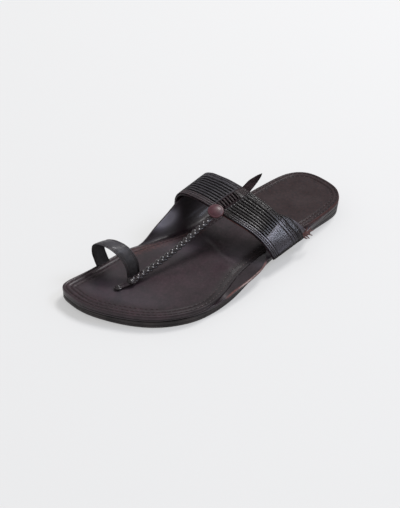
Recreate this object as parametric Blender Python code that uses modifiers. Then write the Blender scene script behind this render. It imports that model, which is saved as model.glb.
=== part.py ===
"""Leather toe-ring sandal for a left foot: layered sole with side ears, slit instep band,
plaited thong, big-toe ring and an oval tab.

Lengths below are millimetres, turned into metres as the points are made. A station is the
distance from the toe tip. In the model the toe points to -Y, the outer side of the foot
(lateral) to +X and the inner side (medial) to -X, with the floor at Z = 0.
"""
import math

import bmesh
import bpy
import numpy as np
from mathutils import Vector

# ------------------------------------------------------------------ driving sizes
MM = 0.001                 # metres in a millimetre
LENGTH = 285.0             # toe tip to back of the heel
CENTRE_X = 0.25            # moves the sandal sideways onto its middle
GAP = 0.3                  # air left between two touching layers
OUTSOLE = 6.4              # thickness of the bottom layer
MIDSOLE = 2.0              # thickness of the layer that carries the ears
FOOTBED = 2.8              # thickness of the top layer in its middle
RIM = 0.6                  # how far the footbed stands up at its border
RIM_CREST = 3.6            # the border is level this far in from the edge
RIM_FOOT = 9.6             # and has sunk to the dish here
EDGE = 0.7                 # bevel along the cut edges of the sole
HEEL_LIFT = 5.0            # thickness of the piece under the heel
LIFT_START = 203.0         # station of its front face
TOE_SPRING = 1.2           # rise of the toe tip off the floor
SPRING_END = 40.0          # station where the toe meets the floor
TOE_SKIVE = 1.8            # how much thinner the outsole is pared at the toe tip
SKIVE_END = 24.0           # station where it has its full thickness
ARCH_START = 140.0         # station where the sole starts to climb onto the heel
ARCH_END = 203.0           # station where it lies on the heel lift

BAND = 1.6                 # leather of the instep band under its ribs
BAND_WIDTH = 35.0          # its width, front edge to back edge
BAND_EDGE = 0.8            # rounded edge of the band
BAND_SECTIONS = 37         # sections over the foot
RIB = 0.9                  # height of the ribs on the band
RIB_COUNT = 7
BORDER_FRONT = 5.5         # plain border before the ribs
BORDER_BACK = 7.0          # plain border behind them
SLIT = 1.1                 # width of the slit between two ribs
SLIT_FADE = 4.0            # length over which a slit runs out
SLITS_START = 12.0         # girth where the slits begin on the inner side
SLITS_STOP = 20.0          # plain girth left beyond them on the outer side, at the front
SLITS_SLANT = 10.0         # and how much more of it there is at the back
STRAP_PLACE = 0.509        # where the centre strap crosses the band, as a share of its girth
STRAP_WIDTH = 10.8
STRAP_LANE = 6.4           # half of the plain lane that the slits leave for the strap
STRAP = 1.2                # how far the strap stands on the band
STRAP_FRONT = 0.17         # share of the band's width where the strap starts
STRAP_BACK = 0.99          # and where its tail leaves the band
BAR_COUNT = 6              # slanting bars on it
BAR_FIRST = 0.24           # share of the band's width at the first bar
BAR_LAST = 0.66            # and at the last one
BAR_LEAN = 0.034           # how far a bar's end lies behind its middle
BAR = 0.8                  # height of a bar on the strap
BAR_MARGIN = 1.4           # strap left plain beside a bar
PLAIT_PITCH = 8.0          # length of one full crossing of the plait
PLAIT_START = 52.0         # station where the plaiting begins, behind the knot
PLAIT_SWELL = 0.16         # how much a strand swells sideways, as a share of the width
PLAIT_CROWN = 0.10         # and upwards, as a share of the thickness
THONG_ROWS = 54
THONG_SIDES = 10
RING_WIDTH = 14.0          # ribbon of the toe ring
RING = 1.9                 # its thickness
RING_TILT = 2.8            # how much higher its front rim stands than its rear rim, at the top
TAB_WIDTH = 14.0           # oval tab
TAB_LENGTH = 15.0
TAB = 0.6                  # its thickness at the rim
TAB_DOME = 1.7             # and the height of its dome
TAB_SHIFT = 1.8            # how far it sits to the outer side of the centre strap
TAB_PLACE = -0.05          # its middle, as a share of the band's width

# Sole outline: station, medial edge, lateral edge
SOLE_OUTLINE = (
    (0.0, -41.0, -28.5),
    (1.2, -46.5, -21.0),
    (3.5, -50.0, -13.0),
    (8.0, -52.3, -3.0),
    (15.0, -53.0, 9.5),
    (24.0, -52.6, 22.5),
    (35.0, -52.4, 34.5),
    (50.0, -52.8, 45.0),
    (68.0, -53.0, 52.2),
    (86.0, -52.4, 54.0),
    (104.0, -49.8, 52.8),
    (124.0, -45.2, 49.0),
    (146.0, -40.6, 44.8),
    (170.0, -37.2, 42.0),
    (195.0, -36.0, 40.0),
    (222.0, -36.2, 38.2),
    (246.0, -36.2, 36.0),
    (262.0, -34.8, 33.6),
    (272.0, -31.2, 29.0),
    (279.0, -25.5, 22.0),
    (283.0, -19.0, 14.5),
    (285.0, -10.0, 4.0),
)

# How far the lower layers draw in under the rim by the time they meet the floor:
# station, medial, lateral
TAPER = (
    (0.0, 0.2, 0.2),
    (100.0, 0.2, 0.2),
    (125.0, 0.8, 1.0),
    (150.0, 2.0, 3.0),
    (175.0, 2.8, 4.6),
    (200.0, 3.0, 5.4),
    (236.0, 2.6, 4.8),
    (250.0, 2.0, 3.6),
    (262.0, 1.5, 2.4),
    (272.0, 1.0, 1.2),
    (285.0, 0.4, 0.6),
)

# How far the footbed draws in from the sole at the waist: station, medial, lateral
WAIST = (
    (0.0, 0.0, 0.0),
    (74.0, 0.0, 0.0),
    (84.0, 1.2, 1.0),
    (96.0, 2.6, 3.2),
    (110.0, 4.0, 6.6),
    (126.0, 4.6, 9.0),
    (146.0, 4.4, 9.4),
    (170.0, 2.4, 7.4),
    (195.0, 1.0, 4.0),
    (216.0, 0.0, 0.6),
    (226.0, 0.0, 0.0),
    (285.0, 0.0, 0.0),
)

# Outside of the instep band, from the inner side of the foot over to the outer side:
# across and height along its front edge, then along its back edge
ARCH = (
    (-52.0, 16.0, -52.5, 17.5),
    (-53.6, 23.0, -55.0, 25.0),
    (-54.0, 31.0, -56.2, 34.0),
    (-53.6, 38.0, -56.0, 42.0),
    (-51.5, 44.0, -53.8, 49.0),
    (-47.0, 48.2, -49.0, 53.4),
    (-40.0, 50.0, -41.0, 55.2),
    (-30.0, 49.4, -29.0, 55.0),
    (-18.0, 46.9, -16.0, 53.2),
    (-6.0, 43.6, -3.0, 50.2),
    (6.0, 40.8, 9.0, 46.4),
    (18.0, 38.0, 20.0, 42.0),
    (28.0, 34.8, 30.0, 36.4),
    (36.0, 30.6, 37.0, 31.4),
    (42.6, 25.4, 43.0, 26.8),
    (48.0, 19.6, 47.4, 22.4),
    (51.0, 15.0, 49.8, 17.0),
)
EAR_ROOT = 8.0             # how far under the footbed the ears begin
EAR_RAMP = 0.6             # share by which a low outer ear rises straight, without a hollow
RAMP_LOW = 20.0            # ears up to this reach are low
RAMP_HIGH = 30.0           # and from here on they stand up
EAR_STEP = 1.0             # how far outside the footbed they start to bend
EAR_LEAST = 4.0            # shortest stretch over which the points of an ear are spread
EAR_POINTS = 13            # points across one ear
EAR_SOFTNESS = 1.3         # length over which the folds of an ear are rounded
CURL_START = 82.0          # stations between which they stand up from the sole
CURL_END = 222.0
CURL_RISE = 24.0           # length over which they start to rise in front
CURL_FALL = 14.0           # and lie down again behind
FRONT_STATION = 148.0      # station of the band's front edge at the middle, and its slant
FRONT_SLANT = 0.24
BACK_STATION = 183.0
BACK_SLANT = 0.20

# Ears: station, then for the inner and the outer ear how far the leather reaches past the
# footbed edge and how far the free part is pushed outwards from the band's line
EARS = (
    (0.0, 0.0, 0.0, 0.0, 0.0),
    (80.0, 0.0, 0.0, 0.0, 0.0),
    (88.0, 1.6, 3.0, 2.0, 3.6),
    (94.0, 3.2, 4.4, 4.6, 5.0),
    (104.0, 9.4, 4.4, 11.0, 6.6),
    (112.0, 16.0, 3.4, 14.5, 6.8),
    (120.0, 21.5, 1.8, 17.0, 6.6),
    (127.0, 27.0, 0.2, 18.0, 5.8),
    (134.0, 33.0, 0.0, 18.5, 5.0),
    (142.0, 39.0, 0.0, 18.5, 3.6),
    (150.0, 42.0, 0.0, 17.5, 1.8),
    (158.0, 43.0, 0.0, 21.0, 0.0),
    (168.0, 43.0, 0.0, 36.0, 0.0),
    (176.0, 40.0, 0.0, 40.5, 0.0),
    (184.0, 33.0, 0.0, 39.5, 0.0),
    (191.0, 20.0, 0.0, 37.0, 0.0),
    (197.0, 8.0, 0.0, 33.0, 0.0),
    (202.0, 2.6, 0.0, 25.0, 0.0),
    (206.0, 0.8, 0.0, 16.0, 0.0),
    (210.0, 0.2, 0.0, 8.0, 0.0),
    (215.0, 0.0, 0.0, 2.4, 0.0),
    (226.0, 0.0, 0.0, 0.0, 0.0),
    (285.0, 0.0, 0.0, 0.0, 0.0),
)

# Thong from its flat front end over the knot to the band: across, station and height of its
# middle, then its width and thickness there
THONG = (
    (-15.8, 36.2, 13.1, 4.4, 1.6),
    (-14.8, 41.0, 13.1, 5.2, 1.6),
    (-13.4, 45.0, 14.0, 6.4, 3.2),
    (-12.5, 49.0, 15.0, 7.6, 5.0),
    (-12.2, 54.0, 15.3, 6.6, 4.4),
    (-12.0, 61.0, 16.3, 6.6, 4.4),
    (-11.5, 71.0, 18.4, 6.6, 4.4),
    (-10.6, 84.0, 21.6, 6.6, 4.4),
    (-9.8, 98.0, 25.4, 6.6, 4.4),
    (-9.2, 112.0, 30.0, 6.6, 4.4),
    (-9.0, 126.0, 35.2, 6.6, 4.2),
    (-8.5, 138.0, 40.2, 6.2, 3.2),
    (-8.2, 147.5, 43.0, 5.6, 2.2),
)
STUD = (-15.6, 36.8, 3.3, 1.7)     # stud on the thong's front end: place, radius, half height

# Tail behind the centre strap: across, station and height of its middle, then its width
TAIL = (
    (-7.4, 188.5, 54.4, 7.8),
    (-6.8, 193.4, 56.9, 5.8),
    (-6.2, 196.8, 58.8, 3.6),
    (-5.6, 199.6, 60.4, 1.4),
)
TAIL_THICKNESS = 1.8

# Middle of the toe ring's ribbon: across, height, station
RING_LOOP = (
    (-48.6, 13.2, 47.3),
    (-51.0, 20.0, 46.6),
    (-52.6, 27.4, 46.0),
    (-51.6, 33.8, 46.3),
    (-47.0, 38.4, 48.0),
    (-40.6, 39.9, 50.3),
    (-34.6, 39.2, 52.4),
    (-29.4, 36.8, 54.2),
    (-25.0, 32.2, 55.7),
    (-21.8, 26.4, 56.8),
    (-20.4, 19.6, 57.3),
    (-20.2, 12.4, 57.4),
)

LEATHERS = {               # base colour and roughness of each part's leather
    "outsole": ((0.030, 0.024, 0.024), 0.62),
    "heel_lift": ((0.026, 0.021, 0.021), 0.65),
    "midsole": ((0.085, 0.034, 0.030), 0.55),
    "footbed": ((0.052, 0.040, 0.046), 0.42),
    "upper": ((0.020, 0.017, 0.021), 0.30),
    "toe_ring": ((0.024, 0.021, 0.026), 0.32),
    "tab": ((0.170, 0.060, 0.085), 0.28),
}


# ------------------------------------------------------------------ smooth tables
def slopes(keys, values):
    """Slope at each row of a table, flat at every high or low point."""
    steps = np.diff(keys)
    rises = np.diff(values) / steps
    found = np.zeros(len(keys))
    for i in range(1, len(keys) - 1):
        if rises[i - 1] * rises[i] > 0.0:
            near = 2.0 * steps[i] + steps[i - 1]
            far = steps[i] + 2.0 * steps[i - 1]
            found[i] = (near + far) / (near / rises[i - 1] + far / rises[i])
    found[0] = rises[0]
    found[-1] = rises[-1]
    return found


def smooth(keys, values, at):
    """Read a table between its rows along a smooth curve."""
    keys = np.asarray(keys, float)
    values = np.asarray(values, float)
    at = min(max(at, keys[0]), keys[-1])
    i = min(int(np.searchsorted(keys, at, side="right")) - 1, len(keys) - 2)
    step = keys[i + 1] - keys[i]
    t = (at - keys[i]) / step
    tangent = slopes(keys, values) * step
    start = (1.0 + 2.0 * t) * (1.0 - t) ** 2 * values[i]
    leave = t * (1.0 - t) ** 2 * tangent[i]
    arrive = t * t * (t - 1.0) * tangent[i + 1]
    end = t * t * (3.0 - 2.0 * t) * values[i + 1]
    return start + leave + end + arrive


def column(table, index):
    return [row[index] for row in table]


def look_up(table, index, station):
    return smooth(column(table, 0), column(table, index), station)


def ease(low, high, at):
    """0 below low, 1 above high, and a soft climb between them."""
    t = min(max((at - low) / (high - low), 0.0), 1.0)
    return t * t * (3.0 - 2.0 * t)


def along(points, count):
    """Read count evenly spaced rows from a smooth curve through a few, placed by columns 0 to 2."""
    points = np.asarray(points, float)
    steps = np.linalg.norm(np.diff(points[:, :3], axis=0), axis=1)
    keys = np.concatenate(([0.0], np.cumsum(steps)))
    places = np.linspace(0.0, keys[-1], count)
    columns = [[smooth(keys, points[:, c], at) for at in places] for c in range(points.shape[1])]
    return np.array(columns).T


# ------------------------------------------------------------------ meshes
def world(across, station, height):
    """Turn millimetres on the sandal into metres in the model."""
    return Vector((across + CENTRE_X, station - LENGTH / 2.0, height)) * MM


def finish(name, mesh, collection):
    """Give a mesh its object, its leather and its smooth shading."""
    leather = LEATHERS.get(name)
    if leather:
        material = bpy.data.materials.new(name + "_leather")
        material.use_nodes = True
        shader = material.node_tree.nodes["Principled BSDF"]
        shader.inputs["Base Color"].default_value = (*leather[0], 1.0)
        shader.inputs["Roughness"].default_value = leather[1]
        shader.inputs["Metallic"].default_value = 0.0
        mesh.materials.append(material)
    thing = bpy.data.objects.new(name, mesh)
    collection.objects.link(thing)
    mesh.shade_smooth()
    mesh.set_sharp_from_angle(angle=math.radians(35.0))
    return thing


def loft(name, sections, collection):
    """Skin a row of unlike closed sections and close both ends."""
    bm = bmesh.new()
    rings = [[bm.verts.new(world(*point)) for point in section] for section in sections]
    for ring, following in zip(rings, rings[1:]):
        for i in range(len(ring)):
            j = (i + 1) % len(ring)
            bm.faces.new((ring[i], ring[j], following[j], following[i]))
    bm.faces.new(rings[0])
    bm.faces.new(rings[-1])
    bmesh.ops.recalc_face_normals(bm, faces=bm.faces)
    if bm.calc_volume(signed=True) < 0.0:
        bmesh.ops.reverse_faces(bm, faces=bm.faces)
    mesh = bpy.data.meshes.new(name)
    bm.to_mesh(mesh)
    bm.free()
    return finish(name, mesh, collection)


def sheet(name, rows, thickness, collection):
    """Skin rows of points as one open surface and give it the thickness of its leather."""
    bm = bmesh.new()
    grid = [[bm.verts.new(world(*point)) for point in row] for row in rows]
    for row, following in zip(grid, grid[1:]):
        for i in range(len(row) - 1):
            bm.faces.new((row[i], row[i + 1], following[i + 1], following[i]))
    bmesh.ops.recalc_face_normals(bm, faces=bm.faces)
    mesh = bpy.data.meshes.new(name)
    bm.to_mesh(mesh)
    bm.free()
    thing = finish(name, mesh, collection)
    wall = thing.modifiers.new("leather", "SOLIDIFY")
    wall.thickness = thickness * MM
    wall.offset = 0.0
    wall.use_quality_normals = True
    return thing


# ------------------------------------------------------------------ sole
def sole_floor(station):
    """Underside of the outsole: toe spring in front, climb onto the heel behind."""
    spring = TOE_SPRING * (1.0 - min(station / SPRING_END, 1.0)) ** 2
    climb = (HEEL_LIFT + GAP) * ease(ARCH_START, ARCH_END, station)
    return spring + climb


def midsole_middle(station):
    return sole_floor(station) + OUTSOLE + GAP + MIDSOLE / 2.0


def footbed_floor(station):
    return sole_floor(station) + OUTSOLE + MIDSOLE + 2.0 * GAP


def rim_edges(station):
    """Inner and outer edge of the sole at its upper rim."""
    return look_up(SOLE_OUTLINE, 1, station), look_up(SOLE_OUTLINE, 2, station)


def wall_edges(station, height):
    """The same edges lower down, where the side walls lean in a little."""
    depth = 1.0 - height / footbed_floor(station)
    medial, lateral = rim_edges(station)
    return medial + depth * look_up(TAPER, 1, station), lateral - depth * look_up(TAPER, 2, station)


def footbed_edges(station):
    medial, lateral = rim_edges(station)
    return medial + look_up(WAIST, 1, station), lateral - look_up(WAIST, 2, station)


def stations(first, last):
    """Rows of the outline and of the arch inside a stretch, with one more between each two."""
    inside = [s for s in (*column(SOLE_OUTLINE, 0), ARCH_END) if first < s < last]
    rows = sorted([first, *inside, last])
    between = [(a + b) / 2.0 for a, b in zip(rows, rows[1:])]
    return sorted(rows + between)


def plate(name, places, floor, top, collection):
    """A lower layer of the sole: level top, leaning edge with a small bevel."""
    sections = []
    for station in places:
        low = floor(station)
        high = top(station)
        medial, lateral = wall_edges(station, high)
        medial_low, lateral_low = wall_edges(station, low)
        bevel = min(EDGE, (lateral - medial) * 0.1)
        sections.append(((medial + bevel, station, high), (lateral - bevel, station, high),
                         (lateral, station, high - bevel), (lateral_low, station, low),
                         (medial_low, station, low), (medial, station, high - bevel)))
    return loft(name, sections, collection)


def outsole(collection):
    def floor(station):
        return sole_floor(station) + TOE_SKIVE * (1.0 - min(station / SKIVE_END, 1.0)) ** 2

    def top(station):
        return sole_floor(station) + OUTSOLE
    return plate("outsole", stations(0.0, LENGTH), floor, top, collection)


def heel_lift(collection):
    def floor(station):
        return 0.0

    def top(station):
        return sole_floor(station) - GAP
    return plate("heel_lift", stations(LIFT_START, LENGTH), floor, top, collection)


def footbed_top(across, station):
    """Top of the footbed: a border that stands up a little round a shallow dish."""
    medial, lateral = footbed_edges(station)
    inside = min(across - medial, lateral - across)
    inside = min(inside, station, LENGTH - station)
    rim = RIM * (1.0 - ease(RIM_CREST, RIM_FOOT, inside))
    return footbed_floor(station) + FOOTBED + rim


def footbed(collection):
    """The top layer, with points on both sides of its border so that the rim shows."""
    sections = []
    for station in stations(0.0, LENGTH):
        medial, lateral = footbed_edges(station)
        width = lateral - medial
        low = footbed_floor(station)
        inside = [min(d, width * most) for d, most in ((EDGE, 0.06), (RIM_CREST, 0.14), (RIM_FOOT, 0.26))]
        row = [medial + d for d in inside] + [(medial + lateral) / 2.0]
        row += [lateral - d for d in reversed(inside)]
        ring = [(x, station, footbed_top(x, station)) for x in row]
        ring.append((lateral, station, footbed_top(lateral, station) - EDGE))
        ring.append((lateral, station, low))
        ring.append(((medial + lateral) / 2.0, station, low))
        ring.append((medial, station, low))
        ring.append((medial, station, footbed_top(medial, station) - EDGE))
        sections.append(ring)
    return loft("footbed", sections, collection)


# ------------------------------------------------------------------ band surface
def arch_keys():
    points = np.asarray(ARCH, float)
    steps = np.linalg.norm(np.diff(points[:, :2], axis=0), axis=1)
    return np.concatenate(([0.0], np.cumsum(steps)))


ARCH_KEYS = arch_keys()
GIRTH = ARCH_KEYS[-1]      # length of the band's front edge, side to side


def band_point(girth, width):
    """Outside of the band: girth along it from the inner side, width 0 front to 1 back."""
    front_x, front_z, back_x, back_z = (smooth(ARCH_KEYS, column(ARCH, c), girth) for c in range(4))
    front = np.array((front_x, FRONT_STATION + FRONT_SLANT * front_x, front_z))
    back = np.array((back_x, BACK_STATION + BACK_SLANT * back_x, back_z))
    return front + (back - front) * width


def band_normal(girth, width):
    step = 0.5
    low = max(girth - step, 0.0)
    high = min(girth + step, GIRTH)
    over = band_point(high, width) - band_point(low, width)
    back = band_point(girth, width + 0.02) - band_point(girth, width - 0.02)
    normal = np.cross(over, back)
    return normal / np.linalg.norm(normal)


def arch_at(station, depth):
    """Section of the band's line at a station, depth inside its outer face."""
    found = []
    for girth in np.linspace(0.0, GIRTH, 81):
        front = band_point(girth, 0.0)
        back = band_point(girth, 1.0)
        width = (station - front[1]) / (back[1] - front[1])
        point = band_point(girth, width) - depth * band_normal(girth, min(max(width, 0.0), 1.0))
        found.append((point[0], point[2]))
    return np.array(found)


# ------------------------------------------------------------------ midsole with its ears
def trim(path, reach):
    """Keep the first stretch of a path, reach long."""
    kept = [path[0]]
    for start, end in zip(path, path[1:]):
        step = np.linalg.norm(end - start)
        if step >= reach:
            kept.append(start + (end - start) * reach / max(step, 1e-9))
            return np.array(kept)
        kept.append(end)
        reach -= step
    return np.array(kept)


def bend(root, corner, end, after, count=12):
    """A soft bend that leaves root level, heads for corner and joins the line end-after."""
    heading = (end - after) / np.linalg.norm(end - after)
    pull = end + heading * np.linalg.norm(end - root) * 0.3
    found = []
    for t in np.linspace(0.0, 1.0, count):
        a, b, c, d = (1 - t) ** 3, 3 * t * (1 - t) ** 2, 3 * t * t * (1 - t), t ** 3
        found.append(a * root + b * corner + c * pull + d * end)
    return np.array(found)


def ear_path(station, side):
    """Path of the layer from under the footbed outwards, side -1 medial or 1 lateral."""
    level = midsole_middle(station)
    medial, lateral = footbed_edges(station)
    room = (lateral - medial) * 0.2
    hidden = min(EAR_ROOT, room)
    root = np.array(((medial if side < 0 else lateral) + side * EAR_STEP, level))
    edge = wall_edges(station, level)[0 if side < 0 else 1]
    flat = side * (edge - root[0])
    if flat < 0.0:
        root[0] = edge
    reach = max(look_up(EARS, 1 if side < 0 else 3, station), flat)
    lead = max(min(EAR_LEAST, room) - reach, 0.0)
    start = root - np.array((side * lead, 0.0))
    inner = start - np.array((side * hidden, 0.0))
    end = root + np.array((side * max(reach, 0.0), 0.0))
    level_path = np.vstack((inner, np.linspace(start, end, EAR_POINTS - 1)))
    curl = ease(CURL_START, CURL_START + CURL_RISE, station)
    curl *= 1.0 - ease(CURL_END - CURL_FALL, CURL_END, station)
    if curl == 0.0:
        return level_path
    line = arch_at(station, BAND + RIB + GAP + MIDSOLE / 2.0)
    if side > 0:
        line = line[::-1]
    flare = look_up(EARS, 2 if side < 0 else 4, station)
    line = line + np.array((side * flare, 0.0))
    corner = root + np.array((side * 0.9 * max(flat, 1.0), 0.0))
    whole = soften(np.vstack((start, bend(root, corner, line[0], line[1]), line[1:])))
    bent = np.vstack((inner, resample(trim(whole, lead + reach), EAR_POINTS - 1)))
    if side > 0:
        ramp = np.linspace(bent[1], bent[-1], EAR_POINTS - 1)
        bent[1:] += (ramp - bent[1:]) * EAR_RAMP * (1.0 - ease(RAMP_LOW, RAMP_HIGH, reach))
    return level_path + (bent - level_path) * curl


def resample(path, count):
    steps = np.linalg.norm(np.diff(path, axis=0), axis=1)
    keys = np.concatenate(([0.0], np.cumsum(steps)))
    places = np.linspace(0.0, keys[-1], count)
    return np.column_stack([np.interp(places, keys, path[:, c]) for c in range(2)])


def soften(path):
    """Round the folds of a path by averaging neighbours, its ends held still."""
    length = np.linalg.norm(np.diff(path, axis=0), axis=1).sum()
    path = resample(path, int(length / (EAR_SOFTNESS / 2.0)) + 2)
    for _ in range(8):
        path[1:-1] = (path[:-2] + 2.0 * path[1:-1] + path[2:]) / 4.0
    return path


def midsole(collection):
    """The layer between the soles. Its sides stick out at the waist and rise as ears."""
    plain = [s for s in column(SOLE_OUTLINE, 0) if 0.0 < s < CURL_START or CURL_END < s < LENGTH]
    places = [0.1, *plain, LENGTH - 0.1]
    places += list(np.linspace(CURL_START, 182.0, 22)) + list(np.linspace(185.5, CURL_END, 12))
    places = sorted(places)
    sections = []
    for station in places:
        medial = ear_path(station, -1)[::-1]
        lateral = ear_path(station, 1)
        sections.append(np.vstack((medial, (medial[-1] + lateral[0]) / 2.0, lateral)))
    sections = np.array(sections)
    curled = [i for i, s in enumerate(places) if CURL_START < s < CURL_END]
    for _ in range(2):
        around = (sections[:-2] + sections[2:]) / 2.0
        inside = np.array(curled)
        sections[inside] = (sections[inside] + around[inside - 1]) / 2.0
    rows = [[(x, s, z) for x, z in section] for s, section in zip(places, sections)]
    return sheet("midsole", rows, MIDSOLE, collection)


# ------------------------------------------------------------------ upper
def rib_samples():
    """Places across the band as shares of its width, each with how deep it lies under the
    rib tops and whether that depth belongs to a slit."""
    pitch = (BAND_WIDTH - BORDER_FRONT - BORDER_BACK) / RIB_COUNT
    places = [(0.0, RIB / 2.0, False), (BAND_EDGE, 0.0, False), (BORDER_FRONT - SLIT, 0.0, False)]
    for i in range(RIB_COUNT + 1):
        middle = BORDER_FRONT + i * pitch
        places += [(middle - SLIT / 2.0, 0.0, True), (middle, RIB, True), (middle + SLIT / 2.0, 0.0, True)]
    places += [(BAND_WIDTH - BORDER_BACK + SLIT, 0.0, False), (BAND_WIDTH - BAND_EDGE, 0.0, False)]
    places.append((BAND_WIDTH, RIB / 2.0, False))
    return [(place / BAND_WIDTH, depth, slit) for place, depth, slit in places]


def slit_mask(girth, width):
    """The slits stop short of the band's two ends and of the centre strap."""
    stop = GIRTH - SLITS_STOP - SLITS_SLANT * width
    ends = ease(SLITS_START, SLITS_START + SLIT_FADE, girth) * (1.0 - ease(stop - SLIT_FADE, stop, girth))
    return ends * ease(STRAP_LANE, STRAP_LANE + SLIT_FADE / 2.0, abs(girth - GIRTH * STRAP_PLACE))


def band(collection):
    samples = rib_samples()
    sections = []
    for girth in np.linspace(0.0, GIRTH, BAND_SECTIONS):
        ring = []
        for width, depth, slit in samples:
            if slit:
                depth *= slit_mask(girth, width)
            ring.append(band_point(girth, width) - depth * band_normal(girth, width))
        for width in (1.0, 0.66, 0.33, 0.0):
            ring.append(band_point(girth, width) - (BAND + RIB) * band_normal(girth, width))
        sections.append(ring)
    return loft("upper", sections, collection)


def strap(collection):
    """Centre strap over the band, narrowing behind it into a raised pointed tail."""
    sections = []
    girth = GIRTH * STRAP_PLACE
    for width in np.linspace(STRAP_FRONT, STRAP_BACK, 13):
        half = STRAP_WIDTH / 2.0 * (1.0 - 0.2 * ease(0.8, 1.0, width))
        left, centre, right = (band_point(girth + d, width) for d in (-half, 0.0, half))
        normal = band_normal(girth, width)
        top = normal * STRAP
        low = -normal * STRAP / 2.0
        sections.append((left + low, left + top * 0.7, centre + top, right + top * 0.7,
                         right + low, centre + low))
    base = centre
    side = (right - left) / np.linalg.norm(right - left)
    for x, station, height, width in TAIL:
        point = np.array((x, station, height))
        lift = np.cross(side, point - base)
        lift = lift / np.linalg.norm(lift) * TAIL_THICKNESS / 2.0
        half = side * width / 2.0
        sections.append((point - half - lift, point - half + lift * 0.5, point + lift,
                         point + half + lift * 0.5, point + half - lift, point - lift))
    return loft("centre_strap", sections, collection)


def rung(index, collection):
    """One of the slanting bars across the centre strap."""
    width = BAR_FIRST + (BAR_LAST - BAR_FIRST) * index / (BAR_COUNT - 1)
    sections = []
    for side in np.linspace(-1.0, 1.0, 5):
        place = GIRTH * STRAP_PLACE + side * (STRAP_WIDTH / 2.0 - BAR_MARGIN)
        lean = width - BAR_LEAN * side
        normal = band_normal(place, lean)
        rise = STRAP + BAR * (1.0 - 0.6 * side * side)
        low = [band_point(place, lean + d) + normal * (STRAP - BAR) for d in (0.024, -0.024)]
        high = [band_point(place, lean + d) + normal * rise for d in (-0.013, 0.013)]
        sections.append((*low, *high))
    return loft(f"strap_bar_{index}", sections, collection)


def thong(collection):
    """The thong: flat front end, a knot, then strands that swell in turn left and right."""
    rows = along(THONG, THONG_ROWS)
    points = rows[:, :3]
    forwards = np.gradient(points, axis=0)
    steps = np.linalg.norm(np.diff(points, axis=0), axis=1)
    travelled = np.concatenate(([0.0], np.cumsum(steps)))
    sections = []
    for row, forward, distance in zip(rows, forwards, travelled):
        side = np.cross(forward, (0.0, 0.0, 1.0))
        side = side / np.linalg.norm(side)
        up = np.cross(side, forward)
        up = up / np.linalg.norm(up)
        phase = 2.0 * math.pi * distance / PLAIT_PITCH
        plaited = ease(PLAIT_START - 2.0, PLAIT_START + 3.0, row[1])
        ring = []
        for turn in range(THONG_SIDES):
            angle = 2.0 * math.pi * turn / THONG_SIDES
            strand = math.sin(phase) if math.cos(angle) > 0.0 else -math.sin(phase)
            half_width = row[3] / 2.0 * (1.0 + PLAIT_SWELL * strand * plaited)
            half_height = row[4] / 2.0 * (1.0 + PLAIT_CROWN * math.cos(phase * 2.0) * plaited)
            ring.append(row[:3] + side * half_width * math.cos(angle) + up * half_height * math.sin(angle))
        sections.append(ring)
    return loft("thong", sections, collection)


def stud(collection):
    """Domed stud on the front end of the thong."""
    across, station, radius, half_height = STUD
    top = footbed_top(across, station)
    bm = bmesh.new()
    bmesh.ops.create_uvsphere(bm, u_segments=14, v_segments=8, radius=radius * MM)
    bmesh.ops.scale(bm, vec=(1.0, 1.0, half_height / radius), verts=bm.verts)
    bmesh.ops.translate(bm, vec=world(across, station, top + GAP + half_height), verts=bm.verts)
    mesh = bpy.data.meshes.new("stud")
    bm.to_mesh(mesh)
    bm.free()
    return finish("stud", mesh, collection)


def join(thing, others):
    """Fuse other solids into one with exact Booleans."""
    for other in others:
        fuse = thing.modifiers.new("join " + other.name, "BOOLEAN")
        fuse.operation = "UNION"
        fuse.solver = "EXACT"
        fuse.object = other
        other.hide_render = True
        other.display_type = "WIRE"


# ------------------------------------------------------------------ ring and tab
def toe_ring(collection):
    """Slanting loop of wide ribbon, a little higher in front than behind."""
    loop = along([(x, station, z) for x, z, station in RING_LOOP], 30)
    low = loop[:, 2].min()
    high = loop[:, 2].max()
    rows = []
    for x, station, z in loop:
        tilt = RING_TILT * (z - low) / (high - low)
        rows.append([(x, station + RING_WIDTH * d, z - tilt * d) for d in np.linspace(-0.5, 0.5, 4)])
    return sheet("toe_ring", rows, RING, collection)


def tab(collection):
    """Oval domed tab that hides the place where the thong meets the band."""
    girth = GIRTH * STRAP_PLACE + TAB_SHIFT
    normal = band_normal(girth, 0.0)
    back = band_point(girth, 0.4) - band_point(girth, 0.0)
    back = back / np.linalg.norm(back)
    over = np.cross(back, normal)
    base = band_point(girth, TAB_PLACE) + normal * 1.5 * GAP
    sections = []
    for place in np.linspace(-1.0, 1.0, 11):
        round_off = math.sqrt(max(1.0 - place * place, 0.02))
        centre = base + back * TAB_LENGTH / 2.0 * place
        half = over * TAB_WIDTH / 2.0 * round_off
        rim = normal * TAB
        dome = normal * (TAB + TAB_DOME * round_off)
        shoulder = normal * (TAB + TAB_DOME * round_off * 0.75)
        sections.append((centre - half, centre - half + rim, centre - half * 0.55 + shoulder,
                         centre + dome, centre + half * 0.55 + shoulder, centre + half + rim,
                         centre + half))
    return loft("tab", sections, collection)


# ------------------------------------------------------------------ assembly
def main():
    for thing in list(bpy.data.objects):
        bpy.data.objects.remove(thing, do_unlink=True)
    parts = bpy.data.collections.new("sandal")
    helpers = bpy.data.collections.new("joined_pieces")
    bpy.context.scene.collection.children.link(parts)
    bpy.context.scene.collection.children.link(helpers)
    outsole(parts)
    heel_lift(parts)
    midsole(parts)
    footbed(parts)
    upper = band(parts)
    bars = [rung(i, helpers) for i in range(BAR_COUNT)]
    join(upper, [strap(helpers), *bars, thong(helpers), stud(helpers)])
    toe_ring(parts)
    tab(parts)


main()
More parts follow.
